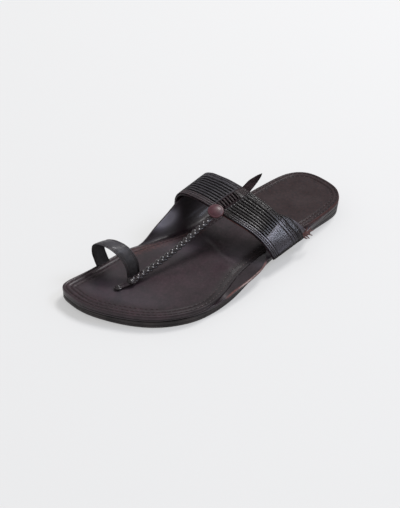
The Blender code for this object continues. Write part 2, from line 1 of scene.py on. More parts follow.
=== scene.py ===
# %% [markdown]
# # A leather toe-ring sandal for the left foot
#
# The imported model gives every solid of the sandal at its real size: four layers of sole, the
# strapwork, the toe ring and the tab. This notebook dresses those solids. Flat layers keep their
# shape and get a smoother skin, and the strapwork is cut and plaited again in finer leather.

# %% Load the packed sandal
import math

import bmesh
import bpy
import numpy as np
from mathutils import Matrix, Vector
from mathutils.bvhtree import BVHTree


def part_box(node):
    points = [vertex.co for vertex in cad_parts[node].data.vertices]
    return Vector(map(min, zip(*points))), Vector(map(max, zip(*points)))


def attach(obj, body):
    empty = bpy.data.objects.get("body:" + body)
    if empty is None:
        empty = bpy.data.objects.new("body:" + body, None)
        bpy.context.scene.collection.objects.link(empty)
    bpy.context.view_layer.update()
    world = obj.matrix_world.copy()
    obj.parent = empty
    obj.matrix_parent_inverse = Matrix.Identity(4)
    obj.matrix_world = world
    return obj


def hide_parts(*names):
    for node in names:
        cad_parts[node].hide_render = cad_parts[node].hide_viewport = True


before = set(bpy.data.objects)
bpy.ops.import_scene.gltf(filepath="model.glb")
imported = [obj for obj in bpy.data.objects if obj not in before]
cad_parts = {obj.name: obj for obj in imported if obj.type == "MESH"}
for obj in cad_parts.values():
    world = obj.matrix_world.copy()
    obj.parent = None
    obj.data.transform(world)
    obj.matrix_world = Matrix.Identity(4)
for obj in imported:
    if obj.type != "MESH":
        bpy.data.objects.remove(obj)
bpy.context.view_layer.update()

print("packed nodes:", ", ".join(sorted(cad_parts)))

# %% [markdown]
# ## Measuring like a shoemaker
#
# A shoemaker measures along the sole from the toe tip. Here that distance is the station, in
# millimetres. `place` turns millimetres across, along and up into a point of the model, so
# that every later number can be read off the real sandal. The inner side of the foot is at
# negative across. The toe tip comes from the frame. Shapes and stains begin and end softly, so
# the curves for that are defined here too: a step, a window that opens and shuts, and a hump.

# %% Units and places
MM = 0.001
CENTRE_X = 0.25            # where the sole's middle line lies in the model
toe_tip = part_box("outsole")[0].y


def place(across, station, height):
    """A point of the model from millimetres on the sandal."""
    return Vector(((across + CENTRE_X) * MM, toe_tip + station * MM, height * MM))


def station_of(point):
    return (point.y - toe_tip) / MM


def across_of(point):
    return point.x / MM - CENTRE_X


def coords(bm):
    return np.array([vert.co for vert in bm.verts])


def measured(bm):
    """Across, station and height of every vertex, in millimetres."""
    spots = coords(bm)
    return spots[:, 0] / MM - CENTRE_X, (spots[:, 1] - toe_tip) / MM, spots[:, 2] / MM


def soft_step(off, on, at):
    """0 at one value, 1 at the other, whichever is larger, and a soft climb between them."""
    t = np.clip((at - off) / (on - off), 0.0, 1.0)
    return t * t * (3.0 - 2.0 * t)


def window(at, shut, open_from, open_to, shut_again):
    """1 over a stretch, with a soft climb before it and a soft fall behind it."""
    return soft_step(shut, open_from, at) * soft_step(shut_again, open_to, at)


def hump(at, middle, width):
    """A soft hump of height 1 round a middle."""
    return np.exp(-((at - middle) / width) ** 2)


# %% [markdown]
# ## Camera, floor and light
#
# The sandal is seen from the outer front, 47 degrees round and 38 degrees above the floor, from
# 85 cm away through a long lens. A pale sky lights everything evenly, and the floor glows a
# little, as a lit table does, so that it stays even. A soft box high on the right shows as a cool
# glint on the glazed band. A strong one behind throws a soft shadow towards the eye and puts a
# sheen on the footbed, and a weak bluish one low on the right lights the inside of the ears.

# %% Camera
AZIMUTH = math.radians(47.0)
ELEVATION = math.radians(38.0)
DISTANCE = 0.850
AIM = (0.0, 117.4935, 15.0)
FOCAL_LENGTH = 86.35

aim = place(*AIM)
towards_eye = Vector((math.sin(AZIMUTH) * math.cos(ELEVATION),
                      -math.cos(AZIMUTH) * math.cos(ELEVATION), math.sin(ELEVATION)))
camera = bpy.data.objects.new("camera", bpy.data.cameras.new("camera"))
camera.data.sensor_fit = "HORIZONTAL"
camera.data.sensor_width = 36.0
camera.data.lens = FOCAL_LENGTH
camera.data.clip_start = 0.01
camera.location = aim + towards_eye * DISTANCE
camera.rotation_euler = (-towards_eye).to_track_quat("-Z", "Y").to_euler()
bpy.context.scene.collection.objects.link(camera)
bpy.context.scene.camera = camera

# %% [markdown]
# ## Floor, sky and soft boxes
#
# The floor has to stay pale to every side, and the light has to be soft and still show relief. The
# floor is one large square without shine. The three lamps come from a table, because they differ
# only in their numbers, and a helper turns each one to face the sandal.

# %% Floor, sky and soft boxes
WHITE = (1.0, 1.0, 1.0, 1.0)
FLOOR_SIZE = 60.0
FLOOR_GREY = (0.40, 0.40, 0.40, 1.0)
FLOOR_GLOW = 0.41
SKY = 0.50
SOFT_BOXES = (             # name, power, size, place and colour
    ("key_box", 38.0, 1.15, (1.75, 2.15, 2.9), (0.76, 0.82, 1.0)),
    ("back_box", 74.0, 1.0, (-0.2, 1.9, 2.9), (1.0, 0.99, 0.98)),
    ("side_box", 4.0, 0.9, (2.9, 1.75, 0.75), (0.72, 0.76, 1.0)),
)


def fill(node, values):
    """Set sockets of a shader node, or link them where the value is another node's socket."""
    for socket, value in values.items():
        if isinstance(value, bpy.types.NodeSocket):
            node.id_data.links.new(value, node.inputs[socket])
        else:
            node.inputs[socket].default_value = value


def soft_box(name, power, size, location, colour):
    """A square area lamp that looks at the sandal."""
    light = bpy.data.lights.new(name, "AREA")
    light.energy = power
    light.size = size
    light.color = colour
    thing = bpy.data.objects.new(name, light)
    thing.location = location
    thing.rotation_euler = (aim - Vector(location)).to_track_quat("-Z", "Y").to_euler()
    bpy.context.scene.collection.objects.link(thing)


bm = bmesh.new()
bmesh.ops.create_grid(bm, x_segments=1, y_segments=1, size=FLOOR_SIZE / 2.0)
floor_mesh = bpy.data.meshes.new("floor")
bm.to_mesh(floor_mesh)
bm.free()
floor = bpy.data.objects.new("floor", floor_mesh)
pale = bpy.data.materials.new("pale_floor")
pale.use_nodes = True
fill(pale.node_tree.nodes["Principled BSDF"], {
    "Base Color": FLOOR_GREY, "Roughness": 0.95, "Specular IOR Level": 0.0,
    "Emission Color": WHITE, "Emission Strength": FLOOR_GLOW})
floor_mesh.materials.append(pale)
bpy.context.scene.collection.objects.link(floor)

world = bpy.data.worlds.new("sky")
world.use_nodes = True
fill(world.node_tree.nodes["Background"], {"Color": WHITE, "Strength": SKY})
bpy.context.scene.world = world
bpy.context.scene.view_settings.view_transform = "Standard"
for box in SOFT_BOXES:
    soft_box(*box)
print("soft boxes:", ", ".join(box[0] for box in SOFT_BOXES))

# %% [markdown]
# ## Leather, grain by grain
#
# All of this sandal is vegetable-tanned leather dyed a plum brown that is almost black. What
# tells the pieces apart is how they were finished: the sole is waxed and dull, the footbed is
# burnished, the band is glazed, and a cut edge shows the red-brown core. One recipe covers them
# all. Large soft clouds mix a deep and a worn dye, small cells give the grain its pebbles, and
# a fine noise gives pores. The same clouds change how shiny the surface is. Three attributes
# carry the marks of a piece: `raw` uncovers the core at cut edges, the pale one lays on painted
# light, a painted sheen and a painted lightening of shaded places, and the dark one darkens and
# dulls seams and hollows, with grime and with painted shade.

# %% The leather recipe
CORE = (0.200, 0.070, 0.060)
PAINTED_LIGHT_TINT = (0.360, 0.345, 0.410)
GRIME_AND_SHADE = (0.007, 0.003, 0.004)
CLOUDS = 48.0              # cells in a metre of each noise
FIBRES = 420.0
PORES = 2600.0
PORE_DEPTH = 0.06
DULLER = 0.3               # how much rougher raw leather, or leather with grime or painted shade, is


def add(tree, kind, inputs=None, **settings):
    """Add a shader node, set its properties and fill its sockets."""
    made = tree.nodes.new(kind)
    for word, value in settings.items():
        setattr(made, word, value)
    fill(made, inputs or {})
    return made


def noise(tree, spot, scale, **values):
    inputs = {"Vector": spot, "Scale": scale}
    inputs.update(values)
    return add(tree, "ShaderNodeTexNoise", inputs).outputs["Fac"]


def layer(tree, name):
    return add(tree, "ShaderNodeAttribute", attribute_name=name).outputs["Fac"]


def remap(tree, value, low, high, to_low, to_high):
    return add(tree, "ShaderNodeMapRange", {"Value": value, "From Min": low, "From Max": high,
                                            "To Min": to_low, "To Max": to_high}).outputs["Result"]


def tint(tree, share, below, above, blend="MIX"):
    """Mix two colours, or a colour and a socket, by a share."""
    below = below if isinstance(below, bpy.types.NodeSocket) else (*below, 1.0)
    above = above if isinstance(above, bpy.types.NodeSocket) else (*above, 1.0)
    return add(tree, "ShaderNodeMix", {"Factor": share, "A": below, "B": above},
               data_type="RGBA", blend_type=blend).outputs["Result"]


def calculate(tree, operation, *values):
    return add(tree, "ShaderNodeMath", dict(enumerate(values)), operation=operation).outputs[0]


def bump(tree, height, strength, depth, **under):
    """Relief of a depth in metres, over the relief that lies under it."""
    inputs = {"Height": height, "Strength": strength, "Distance": depth}
    inputs.update(under)
    return add(tree, "ShaderNodeBump", inputs).outputs["Normal"]


def leather(name, deep, worn, roughness, spread, coat, grain, depth, stretch=(1.0, 1.0, 1.0)):
    """Dyed leather: its two dyes, its shine, and the size and depth of its grain in mm."""
    material = bpy.data.materials.new(name)
    material.use_nodes = True
    tree = material.node_tree
    spot = add(tree, "ShaderNodeTexCoord").outputs["Object"]
    drawn = add(tree, "ShaderNodeMapping", {"Vector": spot, "Scale": stretch}).outputs[0]
    clouds = noise(tree, drawn, CLOUDS, Detail=6.0, Roughness=0.66)
    fibre = noise(tree, drawn, FIBRES, Detail=3.0)
    pores = noise(tree, spot, PORES, Detail=2.0)
    cells = add(tree, "ShaderNodeTexVoronoi", {"Vector": drawn, "Scale": 1.0 / (grain * MM),
                                               "Randomness": 0.9}).outputs["Distance"]
    raw = layer(tree, "raw")
    grime = layer(tree, "grime")

    dyed = tint(tree, remap(tree, clouds, 0.38, 0.64, 0.0, 1.0), deep, worn)
    dyed = tint(tree, 1.0, dyed, remap(tree, fibre, 0.3, 0.75, 0.75, 1.2), "MULTIPLY")
    frayed = calculate(tree, "MULTIPLY", raw, fibre)
    dyed = tint(tree, remap(tree, frayed, 0.10, 0.55, 0.0, 1.0), dyed, CORE)
    # Painted light: a pale painted sheen, and a painted lightening of shaded places.
    dyed = tint(tree, layer(tree, "bloom"), dyed, PAINTED_LIGHT_TINT)
    # Grime, and painted shade in slits, hollows and under things, darken the colour.
    dyed = tint(tree, grime, dyed, GRIME_AND_SHADE)

    shine = remap(tree, clouds, 0.3, 0.7, roughness + spread, roughness - spread)
    shine = calculate(tree, "MULTIPLY_ADD", raw, DULLER, shine)
    shine = calculate(tree, "MULTIPLY_ADD", grime, DULLER, shine)

    relief = bump(tree, cells, 0.6, depth * MM)
    relief = bump(tree, fibre, 0.5, depth * 2.0 * MM, Normal=relief)
    relief = bump(tree, pores, 0.35, PORE_DEPTH * MM, Normal=relief)
    fill(tree.nodes["Principled BSDF"], {
        "Base Color": dyed, "Roughness": shine, "Coat Weight": coat, "Coat Roughness": 0.18,
        "Specular IOR Level": 0.34, "Normal": relief})
    return material


# %% [markdown]
# ## The leathers of this sandal
#
# Each leather is one call of the recipe, with its two dyes, its shine and its grain. A waxed sole
# is dull, a glazed band has a thin clear coat, and a thread has the finest grain. One recipe was
# chosen over ten hand-made materials, so that all the pieces belong to one hide.

# %% The leathers of this sandal
sole_leather = leather("waxed_sole_leather", (0.011, 0.008, 0.009), (0.030, 0.022, 0.022),
                       0.50, 0.10, 0.05, 0.9, 0.10, stretch=(1.0, 1.0, 0.35))
footbed_leather = leather("burnished_footbed_leather", (0.014, 0.0072, 0.0102),
                          (0.037, 0.0195, 0.026), 0.44, 0.09, 0.06, 0.8, 0.06)
ear_leather = leather("dyed_ear_leather", (0.013, 0.008, 0.011), (0.030, 0.018, 0.024),
                      0.36, 0.08, 0.20, 0.9, 0.06)
band_leather = leather("glazed_band_leather", (0.016, 0.012, 0.0135), (0.034, 0.026, 0.029),
                       0.30, 0.07, 0.45, 0.7, 0.04)
strap_leather = leather("reddish_strap_leather", (0.016, 0.008, 0.010), (0.052, 0.024, 0.030),
                        0.40, 0.07, 0.12, 0.7, 0.04)
ring_leather = leather("worn_ring_leather", (0.040, 0.037, 0.038), (0.080, 0.074, 0.076),
                       0.40, 0.08, 0.20, 0.7, 0.04)
plait_leather = leather("polished_plait_leather", (0.008, 0.005, 0.007), (0.024, 0.015, 0.018),
                        0.30, 0.05, 0.70, 0.6, 0.02)
tab_leather = leather("oxblood_tab_leather", (0.047, 0.010, 0.015), (0.080, 0.023, 0.033),
                      0.44, 0.05, 0.15, 0.6, 0.03)
frayed_thread = leather("frayed_thread", (0.035, 0.012, 0.012), (0.100, 0.040, 0.036),
                        0.55, 0.05, 0.05, 0.3, 0.05)
thread = leather("waxed_thread", (0.010, 0.005, 0.006), (0.040, 0.016, 0.018),
                 0.42, 0.05, 0.10, 0.3, 0.05)
print("materials:", ", ".join(material.name for material in bpy.data.materials if material.use_nodes))

# %% [markdown]
# ## A smooth skin over a imported solid
#
# The imported solids are made of flat facets. A copy is welded, its triangles are paired back
# into quads, and its sharp edges are creased before a subdivision rounds the rest. The copy
# keeps the solid's outline to a few hundredths of a millimetre, so nothing has to be fitted.
# `paint` then writes the marks of a piece, wear as well as painted light and painted shade,
# into the attributes that the leather reads.

# %% Smooth copies
WELD = 0.01                # points closer than this are one
SHARP = math.radians(40.0)
CREASE = 0.85


def finished(name, bm, material, slot, *nodes):
    """Turn a bmesh into a smooth-shaded piece that rides on the sandal."""
    mesh = bpy.data.meshes.new(name)
    bm.to_mesh(mesh)
    bm.free()
    mesh.materials.append(material)
    mesh.shade_smooth()
    mesh.set_sharp_from_angle(angle=math.radians(50.0))
    piece = bpy.data.objects.new(name, mesh)
    bpy.context.scene.collection.objects.link(piece)
    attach(piece, "root")
    if nodes:
        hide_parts(*nodes)
    print(f"{name}: {len(mesh.polygons)} faces")


def welded(node):
    """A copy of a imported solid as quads."""
    bm = bmesh.new()
    bm.from_mesh(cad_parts[node].data)
    bmesh.ops.remove_doubles(bm, verts=bm.verts, dist=WELD * MM)
    bmesh.ops.join_triangles(bm, faces=bm.faces, angle_face_threshold=math.radians(60.0),
                             angle_shape_threshold=math.radians(180.0))
    return bm


def subdivided(bm, levels):
    """Round a coarse cage, keeping its sharp edges."""
    weight = bm.edges.layers.float.new("crease_edge")
    for edge in bm.edges:
        if edge.calc_face_angle(0.0) > SHARP:
            edge[weight] = CREASE
    cage = bpy.data.meshes.new("cage")
    bm.to_mesh(cage)
    bm.free()
    holder = bpy.data.objects.new("cage", cage)
    bpy.context.scene.collection.objects.link(holder)
    skin = holder.modifiers.new("skin", "SUBSURF")
    skin.levels = levels
    skin.render_levels = levels
    graph = bpy.context.evaluated_depsgraph_get()
    skinned = bpy.data.meshes.new_from_object(holder.evaluated_get(graph))
    bpy.data.objects.remove(holder)
    bpy.data.meshes.remove(cage)
    bm = bmesh.new()
    bm.from_mesh(skinned)
    bpy.data.meshes.remove(skinned)
    return bm


def paint(bm, **marks):
    """Write one value for each vertex into every named layer."""
    for name in marks:
        bm.verts.layers.float.new(name)
    for name, values in marks.items():
        painted = bm.verts.layers.float[name]
        for vert, value in zip(bm.verts, values):
            vert[painted] = value


# %% [markdown]
# ## Footbed
#
# The footbed is the piece that the foot sees: a plate with a rounded shoulder, a border with
# two stitched grooves, and a shallow dish worn into the middle. Its relief depends on how far a
# point lies from the edge, so that distance is measured first, against the outline of the
# packed plate, and then every point of the smooth copy is pushed along Z by a few humps and
# steps. At the waist the edge is pared thin, so that it runs into the ears without a step, and
# along the outer side wear has nearly flattened the border. The heel is redder than the rest and
# is darkened by painted shade, and the inner border has been rubbed until its core shows through.

# %% Edge of the footbed
ROW_GAP = 0.2              # rows of a plate lie further apart than this
OUTLINE_STEP = 1.5


def plan_rows(bm):
    """Station, medial edge, lateral edge and lowest height of a plate, row by row."""
    rows = []
    for vert in sorted(bm.verts, key=lambda vert: vert.co.y):
        if not rows or vert.co.y - rows[-1][-1].y > ROW_GAP * MM:
            rows.append([])
        rows[-1].append(vert.co)
    table = []
    for row in rows:
        across = [across_of(co) for co in row]
        table.append((station_of(row[0]), min(across), max(across), min(co.z for co in row) / MM))
    table = np.array(table)
    width = table[:, 2] - table[:, 1]
    whole = width[1:-1] > (width[:-2] + width[2:]) / 4.0
    return table[np.concatenate(([True], whole, [True]))]


def travelled(points):
    """Length along a path up to each of its points."""
    return np.concatenate(([0.0], np.cumsum(np.linalg.norm(np.diff(points, axis=0), axis=1))))


def resampled(path, step):
    """The same path with evenly spaced points."""
    keys = travelled(path)
    places = np.linspace(0.0, keys[-1], int(keys[-1] / step) + 2)
    return np.stack([np.interp(places, keys, path[:, c]) for c in range(path.shape[1])], axis=-1)


bm = welded("footbed")
plan = plan_rows(bm)
outline = np.vstack((plan[:, [1, 0]], plan[::-1, [2, 0]], plan[:1, [1, 0]]))
outline = resampled(outline, OUTLINE_STEP)[:-1]
for _ in range(3):
    outline = (np.roll(outline, 1, axis=0) + 2.0 * outline + np.roll(outline, -1, axis=0)) / 4.0
print(f"footbed outline: {len(outline)} points")


def plan_at(station, column):
    """Read a column of the footbed's rows at many stations."""
    return np.interp(station, plan[:, 0], plan[:, column])


def inset_of(points):
    """How far points lie from the footbed's edge, in plan."""
    start = outline
    run = np.roll(outline, -1, axis=0) - start
    length = (run ** 2).sum(axis=1)
    found = []
    for chunk in np.array_split(points, max(len(points) // 2000, 1)):
        gap = chunk[:, None, :] - start[None]
        t = np.clip((gap * run).sum(axis=2) / length, 0.0, 1.0)
        found.append(np.linalg.norm(gap - t[..., None] * run, axis=2).min(axis=1))
    return np.concatenate(found)


def inset_path(distance, step):
    """A line that keeps the same distance from the edge all round."""
    along = np.roll(outline, -1, axis=0) - np.roll(outline, 1, axis=0)
    inward = np.stack((along[:, 1], -along[:, 0]), axis=-1)
    path = outline + inward / np.linalg.norm(inward, axis=1, keepdims=True) * distance
    path = path[inset_of(path) > distance - 0.25]
    return resampled(np.vstack((path, path[:1])), step)


# %% [markdown]
# ## Relief of the footbed
#
# A maker tools the border into damp leather, and the foot wears the dish later. The grooves could
# be cut along drawn lines. Here both are sums of soft humps and steps over the distance from the
# edge, because that keeps every groove parallel to the outline by itself.

# %% Relief of the footbed
OUTER_ROW = 2.9            # how far in from the edge the two stitched grooves lie
INNER_ROW = 7.0
TOE_ROW = 10.8             # and the dashed line round the toe
TOE_ROW_FADES = (60.0, 34.0)
TOOLING = (                # distance from the edge, width and height of each groove and ridge
    (OUTER_ROW, 0.6, -0.45), (INNER_ROW, 0.6, -0.45),
    (4.9, 1.2, 0.32), (8.6, 0.9, 0.22), (1.5, 0.5, 0.18))
WAIST = (80.0, 106.0, 186.0, 212.0)        # stations between which the ears leave the sole
FLAT_BORDER = (48.0, 84.0, 186.0, 206.0)   # and where wear has flattened the outer border
OUTER_SIDE = (0.0, 10.0)   # across, where what holds for the outer side comes in
PARED = 0.72               # share of the edge's thickness pared away at the waist, inner side
PARED_OUTER = 0.55         # and outer side
LOST = 0.6                 # share of the tooling lost at the waist, inner side
LOST_OUTER = 0.9           # and outer side
DISH = 0.55                # depth of the worn dish, and how far in it begins and is full
DISH_SLOPE = (9.0, 24.0)
FOLD = 137.0               # station of the soft fold under the band
FOLD_REACH = (-26.0, -8.0, 22.0, 36.0)
SWELLING = (28.0, 125.0)   # across and station of a swelling beside the outer ear
SWELLING_WIDTH = 4.5


def at_waist(station):
    """1 where the ears leave the sole, 0 at the toe and the heel."""
    return window(station, *WAIST)


def pared_share(across, station):
    """How much of its thickness the footbed's edge has lost, more on the inner side."""
    return at_waist(station) * (PARED - (PARED - PARED_OUTER) * soft_step(-4.0, 4.0, across))


def outer_border(across, station):
    """1 along the outer side in front of the heel, where wear has flattened the border."""
    return window(station, *FLAT_BORDER) * soft_step(*OUTER_SIDE, across)


def footbed_relief(inset, across, station):
    """Height that the maker's tools and the foot add to the plate, in millimetres."""
    tooled = sum(height * hump(inset, middle, width) for middle, width, height in TOOLING)
    tooled -= 0.35 * soft_step(*TOE_ROW_FADES, station) * hump(inset, TOE_ROW, 0.5)
    lost = LOST + (LOST_OUTER - LOST) * soft_step(*OUTER_SIDE, across)
    height = tooled * (1.0 - at_waist(station) * lost)
    height = height * (1.0 - 0.8 * outer_border(across, station))
    height -= DISH * soft_step(*DISH_SLOPE, inset)
    behind = station - FOLD + (across + 21.0) * 0.09 + 1.6 * np.sin(across * 0.11)
    fold = 0.18 * hump(behind, 0.0, 1.8) - 0.3 * hump(behind, 4.2, 2.8)
    height += fold * window(across, *FOLD_REACH)
    swelling = hump(across, SWELLING[0], SWELLING_WIDTH) * hump(station, SWELLING[1], SWELLING_WIDTH)
    return height + 0.5 * swelling


# %% [markdown]
# ## Wear and painted light of the footbed
#
# The grooves are darker, the heel is darkened by painted shade, and rubbing brings up the core.
# A painted sheen lightens the toe, and painted light lightens the shade beside the inner ear and
# under the band. A painted image could carry this. Functions of the same distances were chosen,
# so that each mark sits on the shape that causes it.

# %% Wear and painted light of the footbed
HEEL = (165.0, 205.0)      # stations where the heel's redder leather and its painted shade come in
HEEL_SHADE = 0.74
HEEL_RED = 0.36
HEEL_RIM = (214.0, 226.0)  # and where its outer rim is rubbed to the core
RED_BORDER = (52.0, 70.0, 140.0, 160.0)    # where the inner border is rubbed, and how much
BORDER_RED = 0.40
BORDER_GRIME = 0.3
GROOVE_DARK = 0.85
TOE_SHEEN = 0.055
BESIDE_EAR_LIGHT = 0.09
UNDER_BAND_LIGHT = 0.055


def inner_side(inset, across):
    """1 on the inner side, 0 at the very edge."""
    return soft_step(-6.0, -16.0, across) * soft_step(1.0, 3.0, inset)


def red_border(inset, across, station):
    """1 along the inner border in front of the band."""
    return window(station, *RED_BORDER) * inner_side(inset, across) * soft_step(20.0, 7.5, inset)


def footbed_grime(inset, across, station):
    """Darker grooves, painted shade on the heel, and wax on the flattened border and at the inner
    ear's foot.
    """
    grooves = GROOVE_DARK * (hump(inset, OUTER_ROW, 0.5) + hump(inset, INNER_ROW, 0.55))
    grooves += 0.5 * hump(inset, TOE_ROW, 0.5) * soft_step(*TOE_ROW_FADES, station)
    # Painted shade darkens the heel, which shows less sheen than the toe.
    heel = HEEL_SHADE * soft_step(*HEEL, station) * (1.0 - grooves)
    rubbed = BORDER_GRIME * red_border(inset, across, station)
    outer = 0.9 * outer_border(across, station) * soft_step(13.0, 5.0, inset)
    ear_foot = 0.75 * at_waist(station + 22.0) * soft_step(1.6, 0.6, inset)
    return np.maximum.reduce((grooves + heel, rubbed, outer, ear_foot))


def footbed_raw(inset, across, station, stands):
    """Core at the heel's outer rim, and showing through on the heel and the inner border."""
    rim = 0.8 * hump(inset, 0.2, 0.45) * soft_step(2.2, 3.0, stands) * soft_step(*HEEL_RIM, station)
    core = rim * soft_step(*OUTER_SIDE, across) + HEEL_RED * soft_step(*HEEL, station)
    return core + BORDER_RED * red_border(inset, across, station)


def footbed_bloom(inset, across, station):
    """Painted sheen at the toe, and painted light in the shade beside the inner ear and under the
    outer half of the band.
    """
    toe = TOE_SHEEN * soft_step(75.0, 30.0, station) * soft_step(10.0, 20.0, inset)
    beside_ear = BESIDE_EAR_LIGHT * hump(station, 122.0, 20.0) * inner_side(inset, across)
    under_band = UNDER_BAND_LIGHT * hump(station, 146.0, 14.0) * soft_step(0.0, 12.0, across)
    return toe + beside_ear + under_band


# %% [markdown]
# ## Footbed, shaped and painted
#
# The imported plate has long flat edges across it, and a subdivision alone would leave them too
# coarse for the grooves. So they are halved first. Then every point moves along Z by its relief
# and takes its marks.

# %% Footbed
LONG_EDGE = 3.0            # flat edges longer than this, square to the sole, are halved

finer = [edge for edge in bm.edges
         if edge.calc_length() > LONG_EDGE * MM and edge.calc_face_angle(0.0) < 0.5
         and abs(edge.verts[0].co.y - edge.verts[1].co.y) < 0.05 * MM]
bmesh.ops.subdivide_edges(bm, edges=finer, cuts=1, use_grid_fill=True)
bm = subdivided(bm, 3)
across, station, height = measured(bm)
inset = inset_of(np.stack((across, station), axis=-1))
underside = plan_at(station, 3)
stands = height - underside
upper = soft_step(0.6, 2.0, stands)
kept = 1.0 - pared_share(across, station) * soft_step(9.0, 0.0, inset)
height = underside + stands * kept + footbed_relief(inset, across, station) * upper
for vert, level in zip(bm.verts, height):
    vert.co.z = level * MM
# The dark layer holds darker grooves, wax, and painted shade on the heel; the pale layer holds a
# painted sheen at the toe and painted light in the shade beside the inner ear and under the band.
paint(bm, grime=footbed_grime(inset, across, station) * upper,
      raw=footbed_raw(inset, across, station, stands), bloom=footbed_bloom(inset, across, station))
footbed_surface = BVHTree.FromBMesh(bm)
finished("footbed_skin", bm, footbed_leather, "footbed_leather", "footbed")

# %% [markdown]
# ## Outsole and heel lift
#
# Both are smooth copies. A sole like this is built from thinner layers, so the wall gets a soft
# groove where two of them meet, dark with wax, and painted shade darkens the wall under the outer
# ear.

# %% Outsole and heel lift
JOINTS = {"outsole": 3.3, "heel_lift": 2.5}    # height of the joint over each piece's floor
JOINT_DEPTH = 0.28
JOINT_WIDTH = 0.5
JOINT_GRIME = 0.8
WAIST_WALL = (62.0, 92.0, 170.0, 196.0)    # stations where the outer wall gets painted shade
WALL_SHADE = 0.6

for node, slot in (("outsole", "sole_leather"), ("heel_lift", "heel_leather")):
    bm = welded(node)
    rows = plan_rows(bm)
    bm = subdivided(bm, 3)
    bm.normal_update()
    across, station, height = measured(bm)
    wall = soft_step(0.6, 0.2, abs(np.array([vert.normal.z for vert in bm.verts])))
    above_floor = height - np.interp(station, rows[:, 0], rows[:, 3])
    joint = hump(above_floor, JOINTS[node], JOINT_WIDTH) * wall
    for vert, share in zip(bm.verts, joint):
        vert.co -= vert.normal * JOINT_DEPTH * float(share) * MM
    # Painted shade on the outer wall under the outer ear.
    outer_wall_shade = WALL_SHADE * window(station, *WAIST_WALL) * wall * (across > -CENTRE_X)
    paint(bm, grime=np.maximum(JOINT_GRIME * joint, outer_wall_shade))
    finished(node + "_skin", bm, sole_leather, slot, node)

# %% [markdown]
# ## The layer that becomes the ears
#
# At the waist the middle layer is wider than the sole and is bent up on both sides, where the
# band is stitched to it. It was cut after it was dyed, so its free edge shows the red core. The
# faces of that thin edge are the ones with two sharp sides, and they alone are marked raw. Close
# to the footbed the layer is packed up a little. On the inner side bed and ear read as one
# hollow; on the outer side the ear is nearly level with the bed and only climbs to its rim.

# %% Cut edge of the ears
CUT_EDGE = 2.6             # no edge face is wider
EDGE_SPAN = (92.0, 102.0, 150.0, 162.0)    # stations where the cut edge shows its core
EDGE_RAW = 0.12            # how much on the inner side
EDGE_RAW_OUTER = 0.8       # and on the outer side
TIP_SPAN = (184.0, 192.0, 208.0, 214.0)    # and again where the outer ear ends behind the band
TIP_RAW = 0.6

bm = welded("midsole")
raw = bm.faces.layers.float.new("raw")
for face in bm.faces:
    sharp_sides = sum(edge.calc_face_angle(0.0) > math.radians(50.0) for edge in face.edges)
    if sharp_sides >= 2 and min(edge.calc_length() for edge in face.edges) < CUT_EDGE * MM:
        face[raw] = 1.0
bm = subdivided(bm, 2)
raw = bm.faces.layers.float["raw"]
for face in bm.faces:
    middle = face.calc_center_median()
    is_outer = middle.x > 0.0
    shown = window(station_of(middle), *EDGE_SPAN) * (EDGE_RAW_OUTER if is_outer else EDGE_RAW)
    shown += TIP_RAW * window(station_of(middle), *TIP_SPAN) * is_outer
    face[raw] *= shown * (0.25 + 0.75 * soft_step(-0.2, 0.4, face.normal.z))

# %% [markdown]
# ## Packing beside the footbed
#
# A bent-up layer meets the footbed in a narrow gap, which the maker packs. The packing is a height
# added to the layer's own points, most of it next to the footbed, and so it needs no extra piece.
# On the outer side it follows a ramp from the footbed's edge to the ear's rim, which is looked up
# row by row.

# %% Midsole with its ears
EAR_LOW = 13.0             # in front of the band the outer ear rises no further than about here
EAR_PRESSED = 0.88         # share of its further height that is pressed down
BAND_COVERS = (167.0, 159.5)   # stations behind and in front of which the band holds it
FILLET = 0.95              # height of the packing beside the footbed, inner side
FILLET_REACH = (6.0, 0.5)
EDGE_HEIGHT = 3.4          # height of the footbed's edge where it is not pared
RAMP_STEP = 0.15           # the outer ear starts this far below it
RAMP_MOST = 4.5            # and is packed no higher than this
RAMP_CURVE = 1.2
LOW_EAR = (88.0, 100.0, 159.0, 167.0)      # stations of that packing
UNDER_EAR_SHADE = (84.0, 92.0, 160.0, 172.0)     # stations where the ears' underside gets painted shade
EAR_SHADE = (134.0, 146.0)     # and from which the inner ear is, under the band

for vert in bm.verts:
    if vert.co.x > 0.0 and vert.co.z > EAR_LOW * MM:
        free = soft_step(*BAND_COVERS, station_of(vert.co))
        vert.co.z -= (vert.co.z - EAR_LOW * MM) * EAR_PRESSED * free
bm.normal_update()
across, station, height = measured(bm)
facing = np.array([vert.normal for vert in bm.verts])
outside = inset_of(np.stack((across, station), axis=-1))
outside[(across > plan_at(station, 1)) & (across < plan_at(station, 2))] = 0.0
on_top = soft_step(0.0, 0.3, facing[:, 2])
inner_fill = FILLET * at_waist(station) * soft_step(*FILLET_REACH, outside) * on_top

outer_top = (across > 0.0) & (facing[:, 2] > 0.3)
ramp_rows = np.arange(90.0, 166.0, 3.0)
rims = []
for row in ramp_rows:
    near = outer_top & (abs(station - row) < 2.0)
    rims.append(np.argmax(np.where(near, outside, -1.0)))
reach = np.interp(station, ramp_rows, outside[rims])
rim_height = np.interp(station, ramp_rows, height[rims])
bed = plan_at(station, 3) + EDGE_HEIGHT * (1.0 - pared_share(across, station)) - RAMP_STEP
ramp = bed + (rim_height - bed) * np.clip(outside / reach, 0.0, 1.0) ** RAMP_CURVE
low_ear = window(station, *LOW_EAR)
lift = np.clip(ramp - height, 0.0, RAMP_MOST) * low_ear * (outside > 0.0) * on_top
outer_fill = np.maximum(inner_fill * (1.0 - low_ear), lift)
for vert, level in zip(bm.verts, np.where(outer_top, outer_fill, inner_fill)):
    vert.co.z += level * MM

inward = soft_step(0.2, 0.6, facing[:, 0]) * (across < 0.0)
